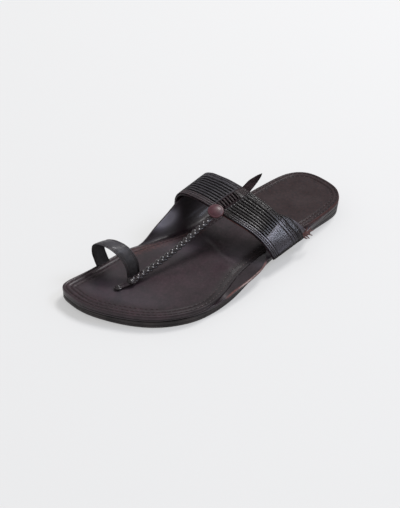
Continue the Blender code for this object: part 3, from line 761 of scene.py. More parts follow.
# Painted reflection: a sheen on the inside of the inner ear, and painted light on the outer ear in
# the band's shadow.
sheen = 2.2 * hump(station, 121.0, 11.0) * hump(height, 25.0, 7.0) * inward
sheen += 0.12 * soft_step(138.0, 152.0, station) * (across > 0.0) * on_top
# Painted shade on the ears' underside, on the inner ear under the band, and on the low outer ear.
under = 0.85 * soft_step(0.0, 0.3, -facing[:, 2]) * window(station, *UNDER_EAR_SHADE)
shaded = 0.8 * soft_step(*EAR_SHADE, station) * inward
packed = 0.35 * low_ear * (across > 0.0)
paint(bm, grime=np.maximum.reduce((under, shaded, packed)), bloom=np.minimum(sheen, 1.0))
finished("midsole_skin", bm, ear_leather, "ear_leather", "midsole")

# %% [markdown]
# ## Stitches
#
# A stitch is a short length of waxed thread, thicker in the middle. Each one starts as a small
# sphere with few faces that is stretched along the seam and pressed into its groove.

# %% Stitches round the footbed
STITCH = 3.1               # length of a stitch
STITCH_PITCH = 4.5
THREAD = 0.85              # its width
SEAM_STEP = 0.5            # spacing of the points on a seam's line
FOOTBED_SEAMS = (          # distance from the edge, where the row starts, and its last station
    (OUTER_ROW, 0.0, 300.0), (INNER_ROW, 2.0, 300.0), (TOE_ROW, 1.0, 44.0))

bead = bmesh.new()
bmesh.ops.create_uvsphere(bead, u_segments=8, v_segments=6, radius=1.0)
bead_mesh = bpy.data.meshes.new("bead")
bead.to_mesh(bead_mesh)
bead.free()


def stitch(bm, middle, along, normal, length, width):
    """One stitch at a point, in millimetres, along a seam."""
    along = Vector(along).normalized()
    normal = Vector(normal).normalized()
    side = normal.cross(along).normalized()
    turn = Matrix((side * width / 2.0, normal * width * 0.4, along * length / 2.0)).transposed()
    shape = bead_mesh.copy()
    shape.transform(Matrix.Translation(place(*middle)) @ (turn * MM).to_4x4())
    bm.from_mesh(shape)
    bpy.data.meshes.remove(shape)


def on_footbed(across, station):
    """The footbed's surface under a point, and its normal."""
    spot, normal, _, _ = footbed_surface.ray_cast(place(across, station, 60.0), Vector((0, 0, -1)))
    return spot, normal


bm = bmesh.new()
for row, start, last in FOOTBED_SEAMS:
    seam = inset_path(row, SEAM_STEP)
    for index in range(int(start / SEAM_STEP), len(seam) - 3, int(STITCH_PITCH / SEAM_STEP)):
        across, station = seam[index]
        if station > last:
            continue
        spot, normal = on_footbed(across, station)
        ahead = seam[index + 2] - seam[index - 2 if index > 1 else 0]
        along = Vector((ahead[0], ahead[1], 0.0))
        stitch(bm, (across, station, spot.z / MM + 0.05), along - normal * along.dot(normal),
               normal, STITCH, THREAD)
finished("footbed_stitches", bm, thread, "footbed_leather")

# %% [markdown]
# ## The line that the band follows
#
# Band, strap and tab all lie on one curved surface over the foot. It is given by the line of
# the band's front edge and of its back edge, as the last on which the band was shaped would
# give them. Reading both at one girth and mixing them gives any point between.

# %% Surface of the band
ARCH = (                   # across and height along the front edge, then along the back edge
    (-52.0, 16.0, -52.5, 17.5),
    (-53.6, 23.0, -55.0, 25.0),
    (-54.0, 31.0, -56.2, 34.0),
    (-53.6, 38.0, -56.0, 42.0),
    (-51.5, 44.0, -53.8, 49.0),
    (-47.0, 48.2, -49.0, 53.4),
    (-40.0, 50.0, -41.0, 55.2),
    (-30.0, 49.4, -29.0, 55.0),
    (-18.0, 46.9, -16.0, 53.2),
    (-6.0, 43.6, -3.0, 50.2),
    (6.0, 40.8, 9.0, 46.4),
    (18.0, 38.0, 20.0, 42.0),
    (28.0, 34.8, 30.0, 36.4),
    (36.0, 30.6, 37.0, 31.4),
    (42.6, 25.4, 43.0, 26.8),
    (48.0, 19.6, 47.4, 22.4),
    (51.0, 15.0, 49.8, 17.0),
)
FRONT_STATION = 148.0      # station of the front edge at the middle, and its slant
FRONT_SLANT = 0.24
BACK_STATION = 183.0
BACK_SLANT = 0.20
BAND_WIDTH = 35.0


def slopes(keys, values):
    """Slope at each row of a table, flat at every high or low point."""
    steps = np.diff(keys)
    rises = np.diff(values) / steps
    found = np.zeros(len(keys))
    for i in range(1, len(keys) - 1):
        if rises[i - 1] * rises[i] > 0.0:
            near = 2.0 * steps[i] + steps[i - 1]
            far = steps[i] + 2.0 * steps[i - 1]
            found[i] = (near + far) / (near / rises[i - 1] + far / rises[i])
    found[0] = rises[0]
    found[-1] = rises[-1]
    return found


def smooth(keys, values, at):
    """Read a table at many places along a smooth curve through its rows."""
    at = np.clip(at, keys[0], keys[-1])
    i = np.clip(np.searchsorted(keys, at, side="right") - 1, 0, len(keys) - 2)
    step = keys[i + 1] - keys[i]
    t = (at - keys[i]) / step
    found = slopes(keys, values)
    start = (1.0 + 2.0 * t) * (1.0 - t) ** 2 * values[i] + t * (1.0 - t) ** 2 * step * found[i]
    end = t * t * (3.0 - 2.0 * t) * values[i + 1] + t * t * (t - 1.0) * step * found[i + 1]
    return start + end


def read_rows(keys, rows, at):
    """Read every column of a table at many places."""
    return np.stack([smooth(keys, rows[:, c], at) for c in range(rows.shape[1])], axis=-1)


def unit(vectors):
    return vectors / np.linalg.norm(vectors, axis=-1, keepdims=True)


arch = np.array(ARCH)
arch_keys = travelled(arch[:, :2])
GIRTH = arch_keys[-1]


def band_points(girth, width):
    """Points on the band's outer face: girth from the inner side, width 0 front to 1 back."""
    front_x, front_z, back_x, back_z = (smooth(arch_keys, arch[:, c], girth) for c in range(4))
    front = np.stack((front_x, FRONT_STATION + FRONT_SLANT * front_x, front_z), axis=-1)
    back = np.stack((back_x, BACK_STATION + BACK_SLANT * back_x, back_z), axis=-1)
    return front + (back - front) * np.asarray(width)[..., None]


def band_normals(girth, width):
    low = np.clip(girth - 0.5, 0.0, GIRTH)
    high = np.clip(girth + 0.5, 0.0, GIRTH)
    over = band_points(high, width) - band_points(low, width)
    back = band_points(girth, width + 0.02) - band_points(girth, width - 0.02)
    return unit(np.cross(over, back))


def wrap(bm):
    """Lay a flat pattern (girth, width, height in millimetres) on the band's surface."""
    flat = coords(bm)
    girth = np.clip(flat[:, 0], 0.0, GIRTH)
    width = flat[:, 1] / BAND_WIDTH
    laid = band_points(girth, width) + band_normals(girth, width) * flat[:, 2:3]
    for vert, point in zip(bm.verts, laid):
        vert.co = place(*point)
    bmesh.ops.recalc_face_normals(bm, faces=bm.faces)


def flat_slab(cells_across, cells_along, width=1.0, length=1.0):
    """A flat slab in XY from a corner, and which of its vertices are on the upper side."""
    bm = bmesh.new()
    bmesh.ops.create_grid(bm, x_segments=cells_across, y_segments=cells_along, size=0.5)
    bmesh.ops.translate(bm, vec=(0.5, 0.5, 0.0), verts=bm.verts)
    bmesh.ops.scale(bm, vec=(width, length, 1.0), verts=bm.verts)
    under = set(bmesh.ops.extrude_face_region(bm, geom=bm.faces[:])["geom"])
    return bm, np.array([vert not in under for vert in bm.verts])


def raise_slab(bm, heights):
    """Give every vertex of a slab its height."""
    for vert, height in zip(bm.verts, heights):
        vert.co.z = height


print(f"the band is {GIRTH:.1f} mm from side to side")

# %% [markdown]
# ## The band, cut flat and then bent
#
# A real band is cut and slit on the bench before it is bent over the last. The same order works
# here. A flat slab gets its ribs, slits, creased border lines and a rounded edge as plain
# heights, and only then is it laid on the curved surface. Both its sides take the same heights,
# so the band is a doubled sheet without a thickness of its own, as are the rear facing, the
# centre strap and the toe ring. The lining lies under the band at its real depth. Two long grooves
# set the slit panel off from its borders over the whole girth, and two creased lines run beside
# each edge. Its glaze has a painted sheen on the skin between the creases and where the slits end
# on the outer side, is red along the inner half of the front border and dull beside the strap,
# and is painted with shade in its slits, grooves and lines and dark as shadow at the outer foot.

# %% Shape of the band
BAND = 1.6                 # how far the lining lies under the rib tops
RIB = 0.9                  # depth of the slits between the ribs
RIB_COUNT = 7
BORDER_FRONT = 6.3
BORDER_BACK = 7.4
SLIT = 1.55                # width of the dark slit between two ribs
SLITS_START = 11.0         # girth where the slits begin on the inner side
SLITS_STOP = 19.0          # plain girth left on the outer side, and how much more at the back
SLITS_SLANT = 10.0
STRAP_GIRTH = GIRTH * 0.509
STRAP_LANE = 6.4           # half the plain lane under the centre strap
CREASES = (1.7, 3.8)       # creased lines, measured from either edge
CREASE_WIDTH = 0.38
CREASE_DEPTH = 0.28
GROOVE_DEPTH = 0.5
ROUNDED = 0.65             # how far the edges are rounded down
DARK_FOOT = 2.2            # strip at the band's outer foot painted dark as shadow


def slits_end(width):
    """Girth where the slits end on the outer side."""
    return GIRTH - SLITS_STOP - SLITS_SLANT * width / BAND_WIDTH


def off_strap(girth):
    """1 outside the plain lane under the centre strap."""
    return soft_step(STRAP_LANE - 0.6, STRAP_LANE + 0.6, abs(girth - STRAP_GIRTH))


def at_foot(girth):
    """1 on the strip at the outer foot that is painted dark as shadow."""
    return soft_step(GIRTH - DARK_FOOT - 0.6, GIRTH - DARK_FOOT + 0.4, girth)


def band_height(girth, width):
    """Height of the band's face over its rib tops, and its painted shade in slits, grooves and lines
    and at the outer foot.
    """
    pitch = (BAND_WIDTH - BORDER_FRONT - BORDER_BACK) / RIB_COUNT
    nearest = np.clip(np.round((width - BORDER_FRONT) / pitch), 0, RIB_COUNT)
    off = abs(width - BORDER_FRONT - nearest * pitch)
    stop = slits_end(width)
    slitted = window(girth, SLITS_START - 0.6, SLITS_START + 0.6, stop - 1.2, stop + 0.6)
    slit = soft_step(SLIT / 2.0 + 0.15, SLIT / 2.0 - 0.3, off) * slitted * off_strap(girth)
    groove = hump(width, BORDER_FRONT, 0.32) + hump(width, BAND_WIDTH - BORDER_BACK, 0.38)
    groove = groove * off_strap(girth) * (1.0 - slit)
    sides = np.minimum(width, BAND_WIDTH - width)
    edge = np.minimum(sides, np.minimum(girth, GIRTH - girth))
    lines = sum(hump(sides, crease, CREASE_WIDTH) for crease in CREASES)
    cut = RIB * slit + ROUNDED * np.exp(-edge / 0.5) + CREASE_DEPTH * lines + GROOVE_DEPTH * groove
    return -cut, np.clip(slit + 0.7 * groove + lines + at_foot(girth), 0.0, 1.0)


# %% [markdown]
# ## Wear and painted sheen of the band
#
# A painted sheen stands for the glint of the glaze: it is pale on the creased skin, at the outer end
# and in a flare, and the inner half is paler too. The leather is dull where it is rubbed. The marks
# are read from girth and width, the two measures that also place the ribs, so that the painted flare
# starts exactly where the slits stop.

# %% Wear and painted sheen of the band
CRESTS = (0.8, 2.75, 4.9)  # middles of the skin beside and between the creases
CREST_SHEEN = 0.8
INNER_PALE = 0.17         # how pale the inner half is
OUTER_SHEEN = 0.16         # the outer end
FLARE = 0.48               # where the slits end
BORDER_FLARE = 0.6         # and the front border beside that
STRAP_DULL = 0.7
REDDENED = 0.36


def band_bloom(girth, width):
    """Painted sheen on the crests, at the outer end and where the slits end, and a paler inner half.
    """
    pale = INNER_PALE * soft_step(STRAP_GIRTH + 12.0, STRAP_GIRTH - 8.0, girth)
    pale += OUTER_SHEEN * soft_step(GIRTH - 24.0, GIRTH - 12.0, girth)
    past = girth - slits_end(width)
    panel = soft_step(BORDER_FRONT - 1.0, BORDER_FRONT + 1.0, width)
    pale += FLARE * window(past, -1.0, 0.5, 2.0, 7.0) * panel
    pale += BORDER_FLARE * hump(past, -2.0, 7.0) * hump(width, 5.1, 0.9)
    crests = sum(hump(width, crest, 0.35) for crest in CRESTS)
    rubbed = window(girth, STRAP_GIRTH + 12.0, STRAP_GIRTH + 30.0, GIRTH - 14.0, GIRTH - 6.0)
    return pale + CREST_SHEEN * crests * rubbed


def band_dull(girth, width):
    """How dull the outer half is beside the strap, further along the ribs than the border."""
    stop = STRAP_GIRTH + 24.0 + 14.0 * soft_step(BORDER_FRONT - 0.5, BORDER_FRONT + 0.5, width)
    begun = soft_step(STRAP_GIRTH, STRAP_GIRTH + 6.0, girth)
    return STRAP_DULL * begun * soft_step(stop, stop - 10.0, girth)


def band_red(girth, width):
    """How red the front border is, from the inner foot to just past the strap."""
    border = soft_step(BORDER_FRONT + 0.4, BORDER_FRONT - 1.0, width)
    return REDDENED * border * window(girth, 14.0, 30.0, STRAP_GIRTH + 6.0, STRAP_GIRTH + 22.0)


# %% [markdown]
# ## Bending the band
#
# Ribs of this size could be left to a bump in the leather. They are real relief here, on a sheet
# whose cells are well under a millimetre, because their shadows are what the eye sees first. Heights
# and marks are given in the flat, and the bending comes last.

# %% Band
bm, _ = flat_slab(230, 165, GIRTH, BAND_WIDTH)
girth, width = coords(bm)[:, :2].T
heights, shades = band_height(girth, width)
raise_slab(bm, heights)
# The dark layer is painted shade in slits, grooves and lines and at the outer foot, and dulls the
# leather beside the strap; the pale layer is painted sheen.
paint(bm, grime=np.maximum(shades, band_dull(girth, width)), bloom=band_bloom(girth, width),
      raw=band_red(girth, width))
wrap(bm)
finished("band_skin", bm, band_leather, "band_leather", "upper")

# %% [markdown]
# ## Stitches along the band's borders
#
# The band is sewn to its lining beside both edges, on the outer half. The thread is waxed and
# catches the light.

# %% Stitches on the band
BORDER_SEAMS = ((31.6, 80.0), (3.0, 94.0))    # distance from the front edge, girth where it starts
BORDER_PITCH = 2.7


def sew_band(bm, girths, shares, lift, length, width):
    """Stitches at many girths on the band's surface, raised a little or sunk."""
    centres = band_points(girths, shares)
    ahead = band_points(girths + 0.5, shares) - centres
    for centre, along, normal in zip(centres, ahead, band_normals(girths, shares)):
        stitch(bm, centre + normal * lift, along, normal, length, width)


bm = bmesh.new()
for offset, start in BORDER_SEAMS:
    girths = np.arange(start, GIRTH - 5.0, BORDER_PITCH)
    girths = girths[abs(girths - STRAP_GIRTH) > STRAP_LANE + 1.0]
    sew_band(bm, girths, np.full(len(girths), offset / BAND_WIDTH), 0.02, 1.7, 0.55)
finished("band_stitches", bm, plait_leather, "band_leather")

# %% [markdown]
# ## Rear facing on the outer side
#
# On the outer side a facing is sewn on behind the band. It widens towards the sole and covers
# the ear, so that the seam groove runs between the two. It is one more doubled sheet laid on the
# same curved surface, carried on a little behind the band's rear edge. Two fine creases run
# beside its rear edge, and it is duller than the band.

# %% Rear facing
FACING_START = 36.0        # girth left to the sole where it begins
FACING_FULL = 24.0         # and where it has its full width
FACING_WIDTH = 7.6
FACING_LEAST = 0.4
FACING_SINKS = 0.55        # how far its face lies below the band's rib tops
FACING_CREASES = (1.3, 2.4)
FACING_SEAM = 0.55         # share of its width where its stitches run
FACING_DULL = 0.55


def facing_width(left):
    """Width of the facing where a girth is left to the sole."""
    return FACING_WIDTH * soft_step(FACING_START, FACING_FULL, left)


bm, _ = flat_slab(110, 40, FACING_START)
flat = coords(bm)
girth = flat[:, 0] + GIRTH - FACING_START
wide = facing_width(GIRTH - girth) + FACING_LEAST
across = flat[:, 1] * wide
top = -FACING_SINKS - 0.6 * np.exp(-np.minimum(across, wide - across) / 0.45)
top = top - 0.16 * sum(hump(wide - across, crease, 0.22) for crease in FACING_CREASES)
# The facing is made duller and darker, and its outer foot is painted dark as shadow.
paint(bm, grime=np.maximum(FACING_DULL, at_foot(girth)))
for vert, along, back in zip(bm.verts, girth, across):
    vert.co.x = along
    vert.co.y = BAND_WIDTH + 0.15 + back
raise_slab(bm, top)
wrap(bm)
girths = np.arange(GIRTH - FACING_FULL - 4.0, GIRTH - 1.5, 2.2)
shares = 1.0 + facing_width(GIRTH - girths) * FACING_SEAM / BAND_WIDTH
sew_band(bm, girths, shares, -0.5, 1.5, 0.6)
finished("rear_facing", bm, band_leather, "band_leather")

# %% [markdown]
# ## Lining of the band
#
# A second, softer layer is glued under the band, and stands out a little in front, where its
# raw edge shows as a thin red-brown line. Just past the middle it is rubbed most.

# %% Lining
LINING_OUT = 0.45          # how far it stands out in front of the band
LINING_RAW = 0.22
LINING_RUBBED = 0.6
RUBBED_SHARES = (0.46, 0.56, 0.70, 0.82)   # shares of the girth between which it is rubbed

bm, upper = flat_slab(120, 16, GIRTH, BAND_WIDTH + LINING_OUT)
bmesh.ops.translate(bm, vec=(0.0, -LINING_OUT, 0.0), verts=bm.verts)
raise_slab(bm, np.where(upper, -BAND + 0.05, -BAND - RIB))
raw = bm.faces.layers.float.new("raw")
for face in bm.faces:
    middle = face.calc_center_median()
    at_front = abs(middle.y + LINING_OUT) < 0.02
    rubbed = LINING_RUBBED * window(middle.x / GIRTH, *RUBBED_SHARES)
    face[raw] = (LINING_RAW + rubbed) * at_front
wrap(bm)
finished("band_lining", bm, ear_leather, "ear_leather")

# %% [markdown]
# ## Centre strap, bars and tail
#
# One tongue of leather runs over the band and ends in a raised point behind it. Its front part
# is woven into slanting bars between two rails. It is a doubled sheet shaped in the flat, then
# every row is set square to the route, which is the band's middle line and then the rising line
# of the tail. The same helper lays the toe ring, and the thong's flat end, which is a slab with
# a real thickness.

# %% A slab laid along a route
def lay(bm, keys, middles, sides, lifts, halves, heights):
    """Lay a slab, 0 to 1 across and along, on a route, with a height for every vertex."""
    flat = coords(bm)
    share = flat[:, 0] * 2.0 - 1.0
    along = flat[:, 1] * keys[-1]
    centre = read_rows(keys, middles, along)
    side = unit(read_rows(keys, sides, along))
    lift = unit(read_rows(keys, lifts, along))
    half = smooth(keys, halves, along)
    laid = centre + side * half[:, None] * share[:, None] + lift * heights[:, None]
    for vert, point in zip(bm.verts, laid):
        vert.co = place(*point)
    bmesh.ops.recalc_face_normals(bm, faces=bm.faces)


# %% [markdown]
# ## Route of the centre strap
#
# The strap lies on the band and then leaves it without a kink. Its route takes points from the
# band's own surface, so that it can't sink in or float, and goes on with a short table for the
# tail.

# %% Route of the centre strap
STRAP_WIDTH = 10.8
STRAP_FRONT = 0.17         # shares of the band's width where it starts and leaves the band
STRAP_BACK = 0.99
STRAP_ROWS = 15
TAIL = (                   # across, station, height and width along the tail
    (-7.4, 188.5, 54.4, 7.8),
    (-6.8, 193.4, 56.9, 5.8),
    (-6.2, 196.8, 58.8, 3.6),
    (-5.6, 199.6, 60.4, 0.5),
)

on_band = np.linspace(STRAP_FRONT, STRAP_BACK, STRAP_ROWS)
tail = np.array(TAIL)
middles = band_points(np.full(STRAP_ROWS, STRAP_GIRTH), on_band)
sides = band_points(np.full(STRAP_ROWS, STRAP_GIRTH + 1.0), on_band) - middles
sides = unit(np.vstack((sides, np.repeat(sides[-1:], len(tail), axis=0))))
middles = np.vstack((middles, tail[:, :3]))
widths = np.concatenate((STRAP_WIDTH * (1.0 - 0.2 * soft_step(0.8, 1.0, on_band)), tail[:, 3]))
lifts = unit(np.cross(sides, np.gradient(middles, axis=0)))
keys = travelled(middles)
band_end = keys[STRAP_ROWS - 1]
print(f"the strap leaves the band after {band_end:.1f} mm of {keys[-1]:.1f} mm")

# %% [markdown]
# ## Bars, rails and tail
#
# On the real strap the bars look like a narrow lace woven through slits. Single laces could be
# modelled, but only their tops show. So each bar is one beat of a cosine that leans with the place
# across the strap, and a rail runs along either side.

# %% Centre strap
STRAP = 1.1                # how far the strap stands on the band
BAR_FIRST = 0.245          # shares of the band's width between which the bars lie
BAR_LAST = 0.665
BAR_COUNT = 6
BAR_SLANT = 2.6            # how far one end of a bar lies behind the other
BAR_HEIGHT = 0.65
GAP_DEPTH = 1.2            # between two bars
RAIL_HEIGHT = 0.35
RIM_DEPTH = 0.45
TAIL_LINE = 0.45           # depth of the line down the tail, and of those beside its edges
TAIL_EDGE_LINE = 0.22

bm, _ = flat_slab(56, 230)
flat = coords(bm)
share = flat[:, 0] * 2.0 - 1.0
along = flat[:, 1] * keys[-1]
width = STRAP_FRONT + (STRAP_BACK - STRAP_FRONT) * along / band_end
pitch = (BAR_LAST - BAR_FIRST) / (BAR_COUNT - 1)
leaning = width + share * BAR_SLANT / BAND_WIDTH / 2.0
woven = window(leaning, BAR_FIRST - 0.6 * pitch, BAR_FIRST - 0.45 * pitch,
               BAR_LAST + 0.45 * pitch, BAR_LAST + 0.6 * pitch)
between_rails = woven * soft_step(0.78, 0.70, abs(share))
bars = soft_step(0.10, 0.60, 0.5 + 0.5 * np.cos(2.0 * np.pi * (leaning - BAR_FIRST) / pitch))
gaps = between_rails * (1.0 - bars)
flush = soft_step(BAR_LAST + 0.02, BAR_LAST + 0.12, width) * soft_step(3.0, -1.0, along - band_end)
on_tail = soft_step(-2.0, 2.0, along - band_end)
top = STRAP * (0.85 - 0.2 * share ** 2) * (1.0 - 0.7 * flush)
top += RAIL_HEIGHT * woven * hump(abs(share), 0.88, 0.10)
top += BAR_HEIGHT * between_rails * bars - GAP_DEPTH * gaps
top -= RIM_DEPTH * hump(abs(share), 1.0, 0.08)
top -= TAIL_LINE * on_tail * hump(share, 0.12, 0.16)
top -= TAIL_EDGE_LINE * on_tail * hump(abs(share), 0.70, 0.08)
# Painted shade between the bars and in the line down the tail.
paint(bm, grime=np.minimum(gaps + 0.5 * on_tail * hump(share, 0.12, 0.12), 1.0))
lay(bm, keys, middles, sides, lifts, widths / 2.0, top)
finished("centre_strap", bm, strap_leather, "band_leather", "upper")

# %% [markdown]
# ## The plait
#
# The thong is plaited from three strands. Each strand swings from side to side while it rises
# and dips twice as often, a third of a turn behind the one before, and that alone makes the
# plait. A strand is a flat grid rolled into a tube round its path, welded along the seam and
# closed at both ends.

# %% A strand
def tube(bm, centres, ups, halves_across, halves_up, sides=10):
    """Roll a grid into an oval tube round a path and close it."""
    count = len(centres)
    across = unit(np.cross(np.gradient(centres, axis=0), ups))
    up = unit(np.cross(across, np.gradient(centres, axis=0)))
    grid = bmesh.ops.create_grid(bm, x_segments=sides, y_segments=count - 1, size=0.5)["verts"]
    for vert in grid:
        row = round((vert.co.y + 0.5) * (count - 1))
        angle = 2.0 * math.pi * round((vert.co.x + 0.5) * sides) / sides
        vert.co = place(*(centres[row] + across[row] * halves_across[row] * math.cos(angle)
                          + up[row] * halves_up[row] * math.sin(angle)))
    bmesh.ops.remove_doubles(bm, verts=grid, dist=0.002 * MM)
    bmesh.ops.holes_fill(bm, edges=[edge for edge in bm.edges if edge.is_boundary], sides=sides)
    bmesh.ops.recalc_face_normals(bm, faces=bm.faces)


# %% [markdown]
# ## Plaiting the thong
#
# The thong's line is a short table of places and sizes, read along a smooth curve. All three
# strands share it and differ only in phase, so that they stay in step along its whole length.

# %% Plait
THONG = (                  # across, station, height, width and thickness
    (-12.9, 47.0, 14.6, 6.4, 4.4),
    (-12.2, 54.0, 15.3, 6.6, 4.4),
    (-12.0, 61.0, 16.3, 6.6, 4.4),
    (-11.5, 71.0, 18.4, 6.6, 4.4),
    (-10.6, 84.0, 21.6, 6.6, 4.4),
    (-9.8, 98.0, 25.4, 6.6, 4.4),
    (-9.2, 112.0, 30.0, 6.6, 4.4),
    (-9.0, 126.0, 35.2, 6.6, 4.2),
    (-8.5, 138.0, 40.2, 6.2, 3.2),
    (-8.2, 147.5, 43.0, 5.6, 2.2),
)
PLAIT_TURN = 16.4          # length in which a strand comes back to the same side
STRANDS = 3
SWING = 0.22               # shares of the thong's width and thickness that a strand moves
DIP = 0.24
HALF_ACROSS = 0.28         # and that it fills, on either side of its middle
HALF_UP = 0.31
PLUMP = 0.16               # how much thicker a strand is where it crosses the middle

thong = np.array(THONG)
thong_keys = travelled(thong[:, :3])
places = np.arange(0.0, thong_keys[-1], 0.7)
rows = read_rows(thong_keys, thong, places)
forward = np.gradient(rows[:, :3], axis=0)
level = unit(np.cross(forward, (0.0, 0.0, 1.0)))
ups = unit(np.cross(level, forward))
bm = bmesh.new()
for strand in range(STRANDS):
    phase = 2.0 * np.pi * (places / PLAIT_TURN + strand / STRANDS)
    swing = rows[:, 3:4] * SWING * np.sin(phase)[:, None]
    dip = rows[:, 4:5] * DIP * np.sin(2.0 * phase)[:, None]
    plump = 1.0 + PLUMP * np.cos(2.0 * phase)
    tube(bm, rows[:, :3] + level * swing + ups * dip, ups, rows[:, 3] * HALF_ACROSS * plump,
         rows[:, 4] * HALF_UP * plump)
finished("plait", bm, plait_leather, "band_leather", "upper")

# %% [markdown]
# ## Knot
#
# In front the thong is bound by two turns of cord and goes on as a flat tongue. A knot could be
# a torus or two, but a wound cord has ends. So it is one more tube, wound round the thong.

# %% Knot
KNOT = (-12.7, 49.0, 14.9)
KNOT_TURNS = 2.0
KNOT_POINTS = 60
KNOT_HALF_WIDTH = 3.1
KNOT_HALF_HEIGHT = 2.0
KNOT_LENGTH = 2.6

bm = bmesh.new()
turns = np.linspace(0.0, 2.0 * np.pi * KNOT_TURNS, KNOT_POINTS)
axis = unit(thong[1, :3] - thong[0, :3])
flank = unit(np.cross(axis, (0.0, 0.0, 1.0)))
crown = np.cross(flank, axis)
ring = (flank[None] * KNOT_HALF_WIDTH * np.cos(turns)[:, None]
        + crown[None] * KNOT_HALF_HEIGHT * np.sin(turns)[:, None])
centres = np.array(KNOT) + ring + axis[None] * (turns / turns[-1] - 0.5)[:, None] * KNOT_LENGTH
tube(bm, centres, np.repeat(axis[None], KNOT_POINTS, axis=0), np.full(KNOT_POINTS, 1.0),
     np.full(KNOT_POINTS, 1.25))
finished("knot", bm, plait_leather, "band_leather", "upper")

# %% [markdown]
# ## Flat end of the thong
#
# In front of the knot the thong is pressed flat and narrows to a tip. Five rows give its line and
# its width. A low crown and two creased lines are enough for its face, and it is laid on its route
# as the strap is.

# %% Flat end of the thong
FLAT_END = (               # across, station, height and width of the tongue under the stud
    (-16.1, 33.9, 12.9, 2.6),
    (-15.8, 36.2, 13.1, 5.2),
    (-14.8, 41.0, 13.2, 5.6),
    (-13.6, 45.0, 13.9, 6.4),
    (-12.7, 49.0, 14.6, 6.0),
)

flat_end = np.array(FLAT_END)
forward = np.gradient(flat_end[:, :3], axis=0)
sides = unit(np.cross(forward, (0.0, 0.0, 1.0)))
lifts = unit(np.cross(sides, forward))
bm, upper = flat_slab(16, 40)
share = coords(bm)[:, 0] * 2.0 - 1.0
top = 0.8 - 0.35 * share ** 4 - 0.3 * hump(abs(share), 0.66, 0.1)
lay(bm, travelled(flat_end[:, :3]), flat_end[:, :3], sides, lifts, flat_end[:, 3] / 2.0,
    np.where(upper, top, -0.7))
finished("thong_end", bm, ear_leather, "band_leather", "upper")

# %% [markdown]
# ## Stud
#
# A small domed stud holds the flat end to the footbed. It could be a sphere cut in half, but its
# flange would be missing. A profile turned on a wheel gives both, and a spin does it in one step.

# %% Stud
STUD = (-15.6, 36.8)
STUD_LIFT = 1.9
STUD_PROFILE = ((0.0, 1.75), (0.8, 1.65), (1.5, 1.3), (1.9, 0.75), (2.1, 0.45), (2.9, 0.4),
                (3.2, 0.15), (3.2, -0.5))


def turned(profile, steps):
    """Spin a profile of radius and height, in millimetres, into a closed form round Z."""
    bm = bmesh.new()
    verts = [bm.verts.new((radius, 0.0, height)) for radius, height in profile]
    edges = [bm.edges.new(pair) for pair in zip(verts, verts[1:])]
    bmesh.ops.spin(bm, geom=verts + edges, axis=(0.0, 0.0, 1.0), cent=(0.0, 0.0, 0.0),
                   angle=2.0 * math.pi, steps=steps, use_merge=True)
    bmesh.ops.remove_doubles(bm, verts=bm.verts, dist=0.001)
    bmesh.ops.holes_fill(bm, edges=[edge for edge in bm.edges if edge.is_boundary], sides=steps)
    bmesh.ops.recalc_face_normals(bm, faces=bm.faces)
    return bm


bm = turned(STUD_PROFILE, 28)
spot, _ = on_footbed(*STUD)
seat = Matrix.Translation(spot + Vector((0.0, 0.0, STUD_LIFT * MM))) @ Matrix.Scale(MM, 4)
bmesh.ops.transform(bm, matrix=seat, verts=bm.verts)
finished("stud", bm, band_leather, "band_leather", "upper")

# %% [markdown]
# ## Thread ends behind the outer ear
#
# The seam that holds band, ear and sole together ends behind the outer ear in a few frayed,
# red-brown thread ends. Each one is a thin tube that bends as it leaves the leather.

# %% Thread ends
FRAY_ROOT = (47.0, 200.0, 20.0)        # where the ends leave the seam
FRAY_TIPS = ((48.0, 209.5, 23.0), (49.5, 211.5, 20.5), (48.5, 208.5, 18.0), (48.0, 212.5, 13.5),
             (49.0, 204.5, 14.5), (48.5, 208.0, 12.5), (47.0, 206.0, 25.0), (50.0, 206.5, 20.0))
FRAY_STEPS = 9
FRAY_HALF = 1.15           # half the thickness at the root, and how much of it is lost to the tip
FRAY_THINS = 0.7
FRAY_BENDS = ((0.5, -0.3, -0.8), (0.5, -0.3, 1.2))

bm = bmesh.new()
share = np.linspace(0.0, 1.0, FRAY_STEPS)[:, None]
thick = FRAY_HALF - FRAY_THINS * share[:, 0]
for index, tip in enumerate(FRAY_TIPS):
    path = np.array(FRAY_ROOT) + (np.array(tip) - np.array(FRAY_ROOT)) * share
    path += np.array(FRAY_BENDS[index % 2]) * np.sin(np.pi * share)
    tube(bm, path, np.repeat([[0.0, 0.0, 1.0]], FRAY_STEPS, axis=0), thick, thick, sides=6)
finished("thread_ends", bm, frayed_thread, "ear_leather")

# %% [markdown]
# ## Toe ring
#
# A ribbon of glazed leather stands over the big toe. Two creased lines run beside its rims, and
# a row of stitches holds each rim. The ribbon is a doubled sheet laid along the loop, with its
# outer face up. It has a painted sheen on top, and painted shade in its creased lines.

# %% Route of the toe ring
RING_LOOP = (              # across, station and height of the ribbon's middle
    (-48.6, 47.3, 13.2),
    (-51.0, 46.6, 20.0),
    (-52.6, 46.0, 27.4),
    (-51.6, 46.3, 33.8),
    (-47.0, 48.0, 38.4),
    (-40.6, 50.3, 39.9),
    (-34.6, 52.4, 39.2),
    (-29.4, 54.2, 36.8),
    (-25.0, 55.7, 32.2),
    (-21.8, 56.8, 26.4),
    (-20.4, 57.3, 19.6),
    (-20.2, 57.4, 12.4),
)
RING_WIDTH = 14.0
RING_BROAD = 3.2           # how much the ribbon widens forwards over the toe
RING_TILT = 2.8            # how much higher its front rim stands than its rear rim, at the top

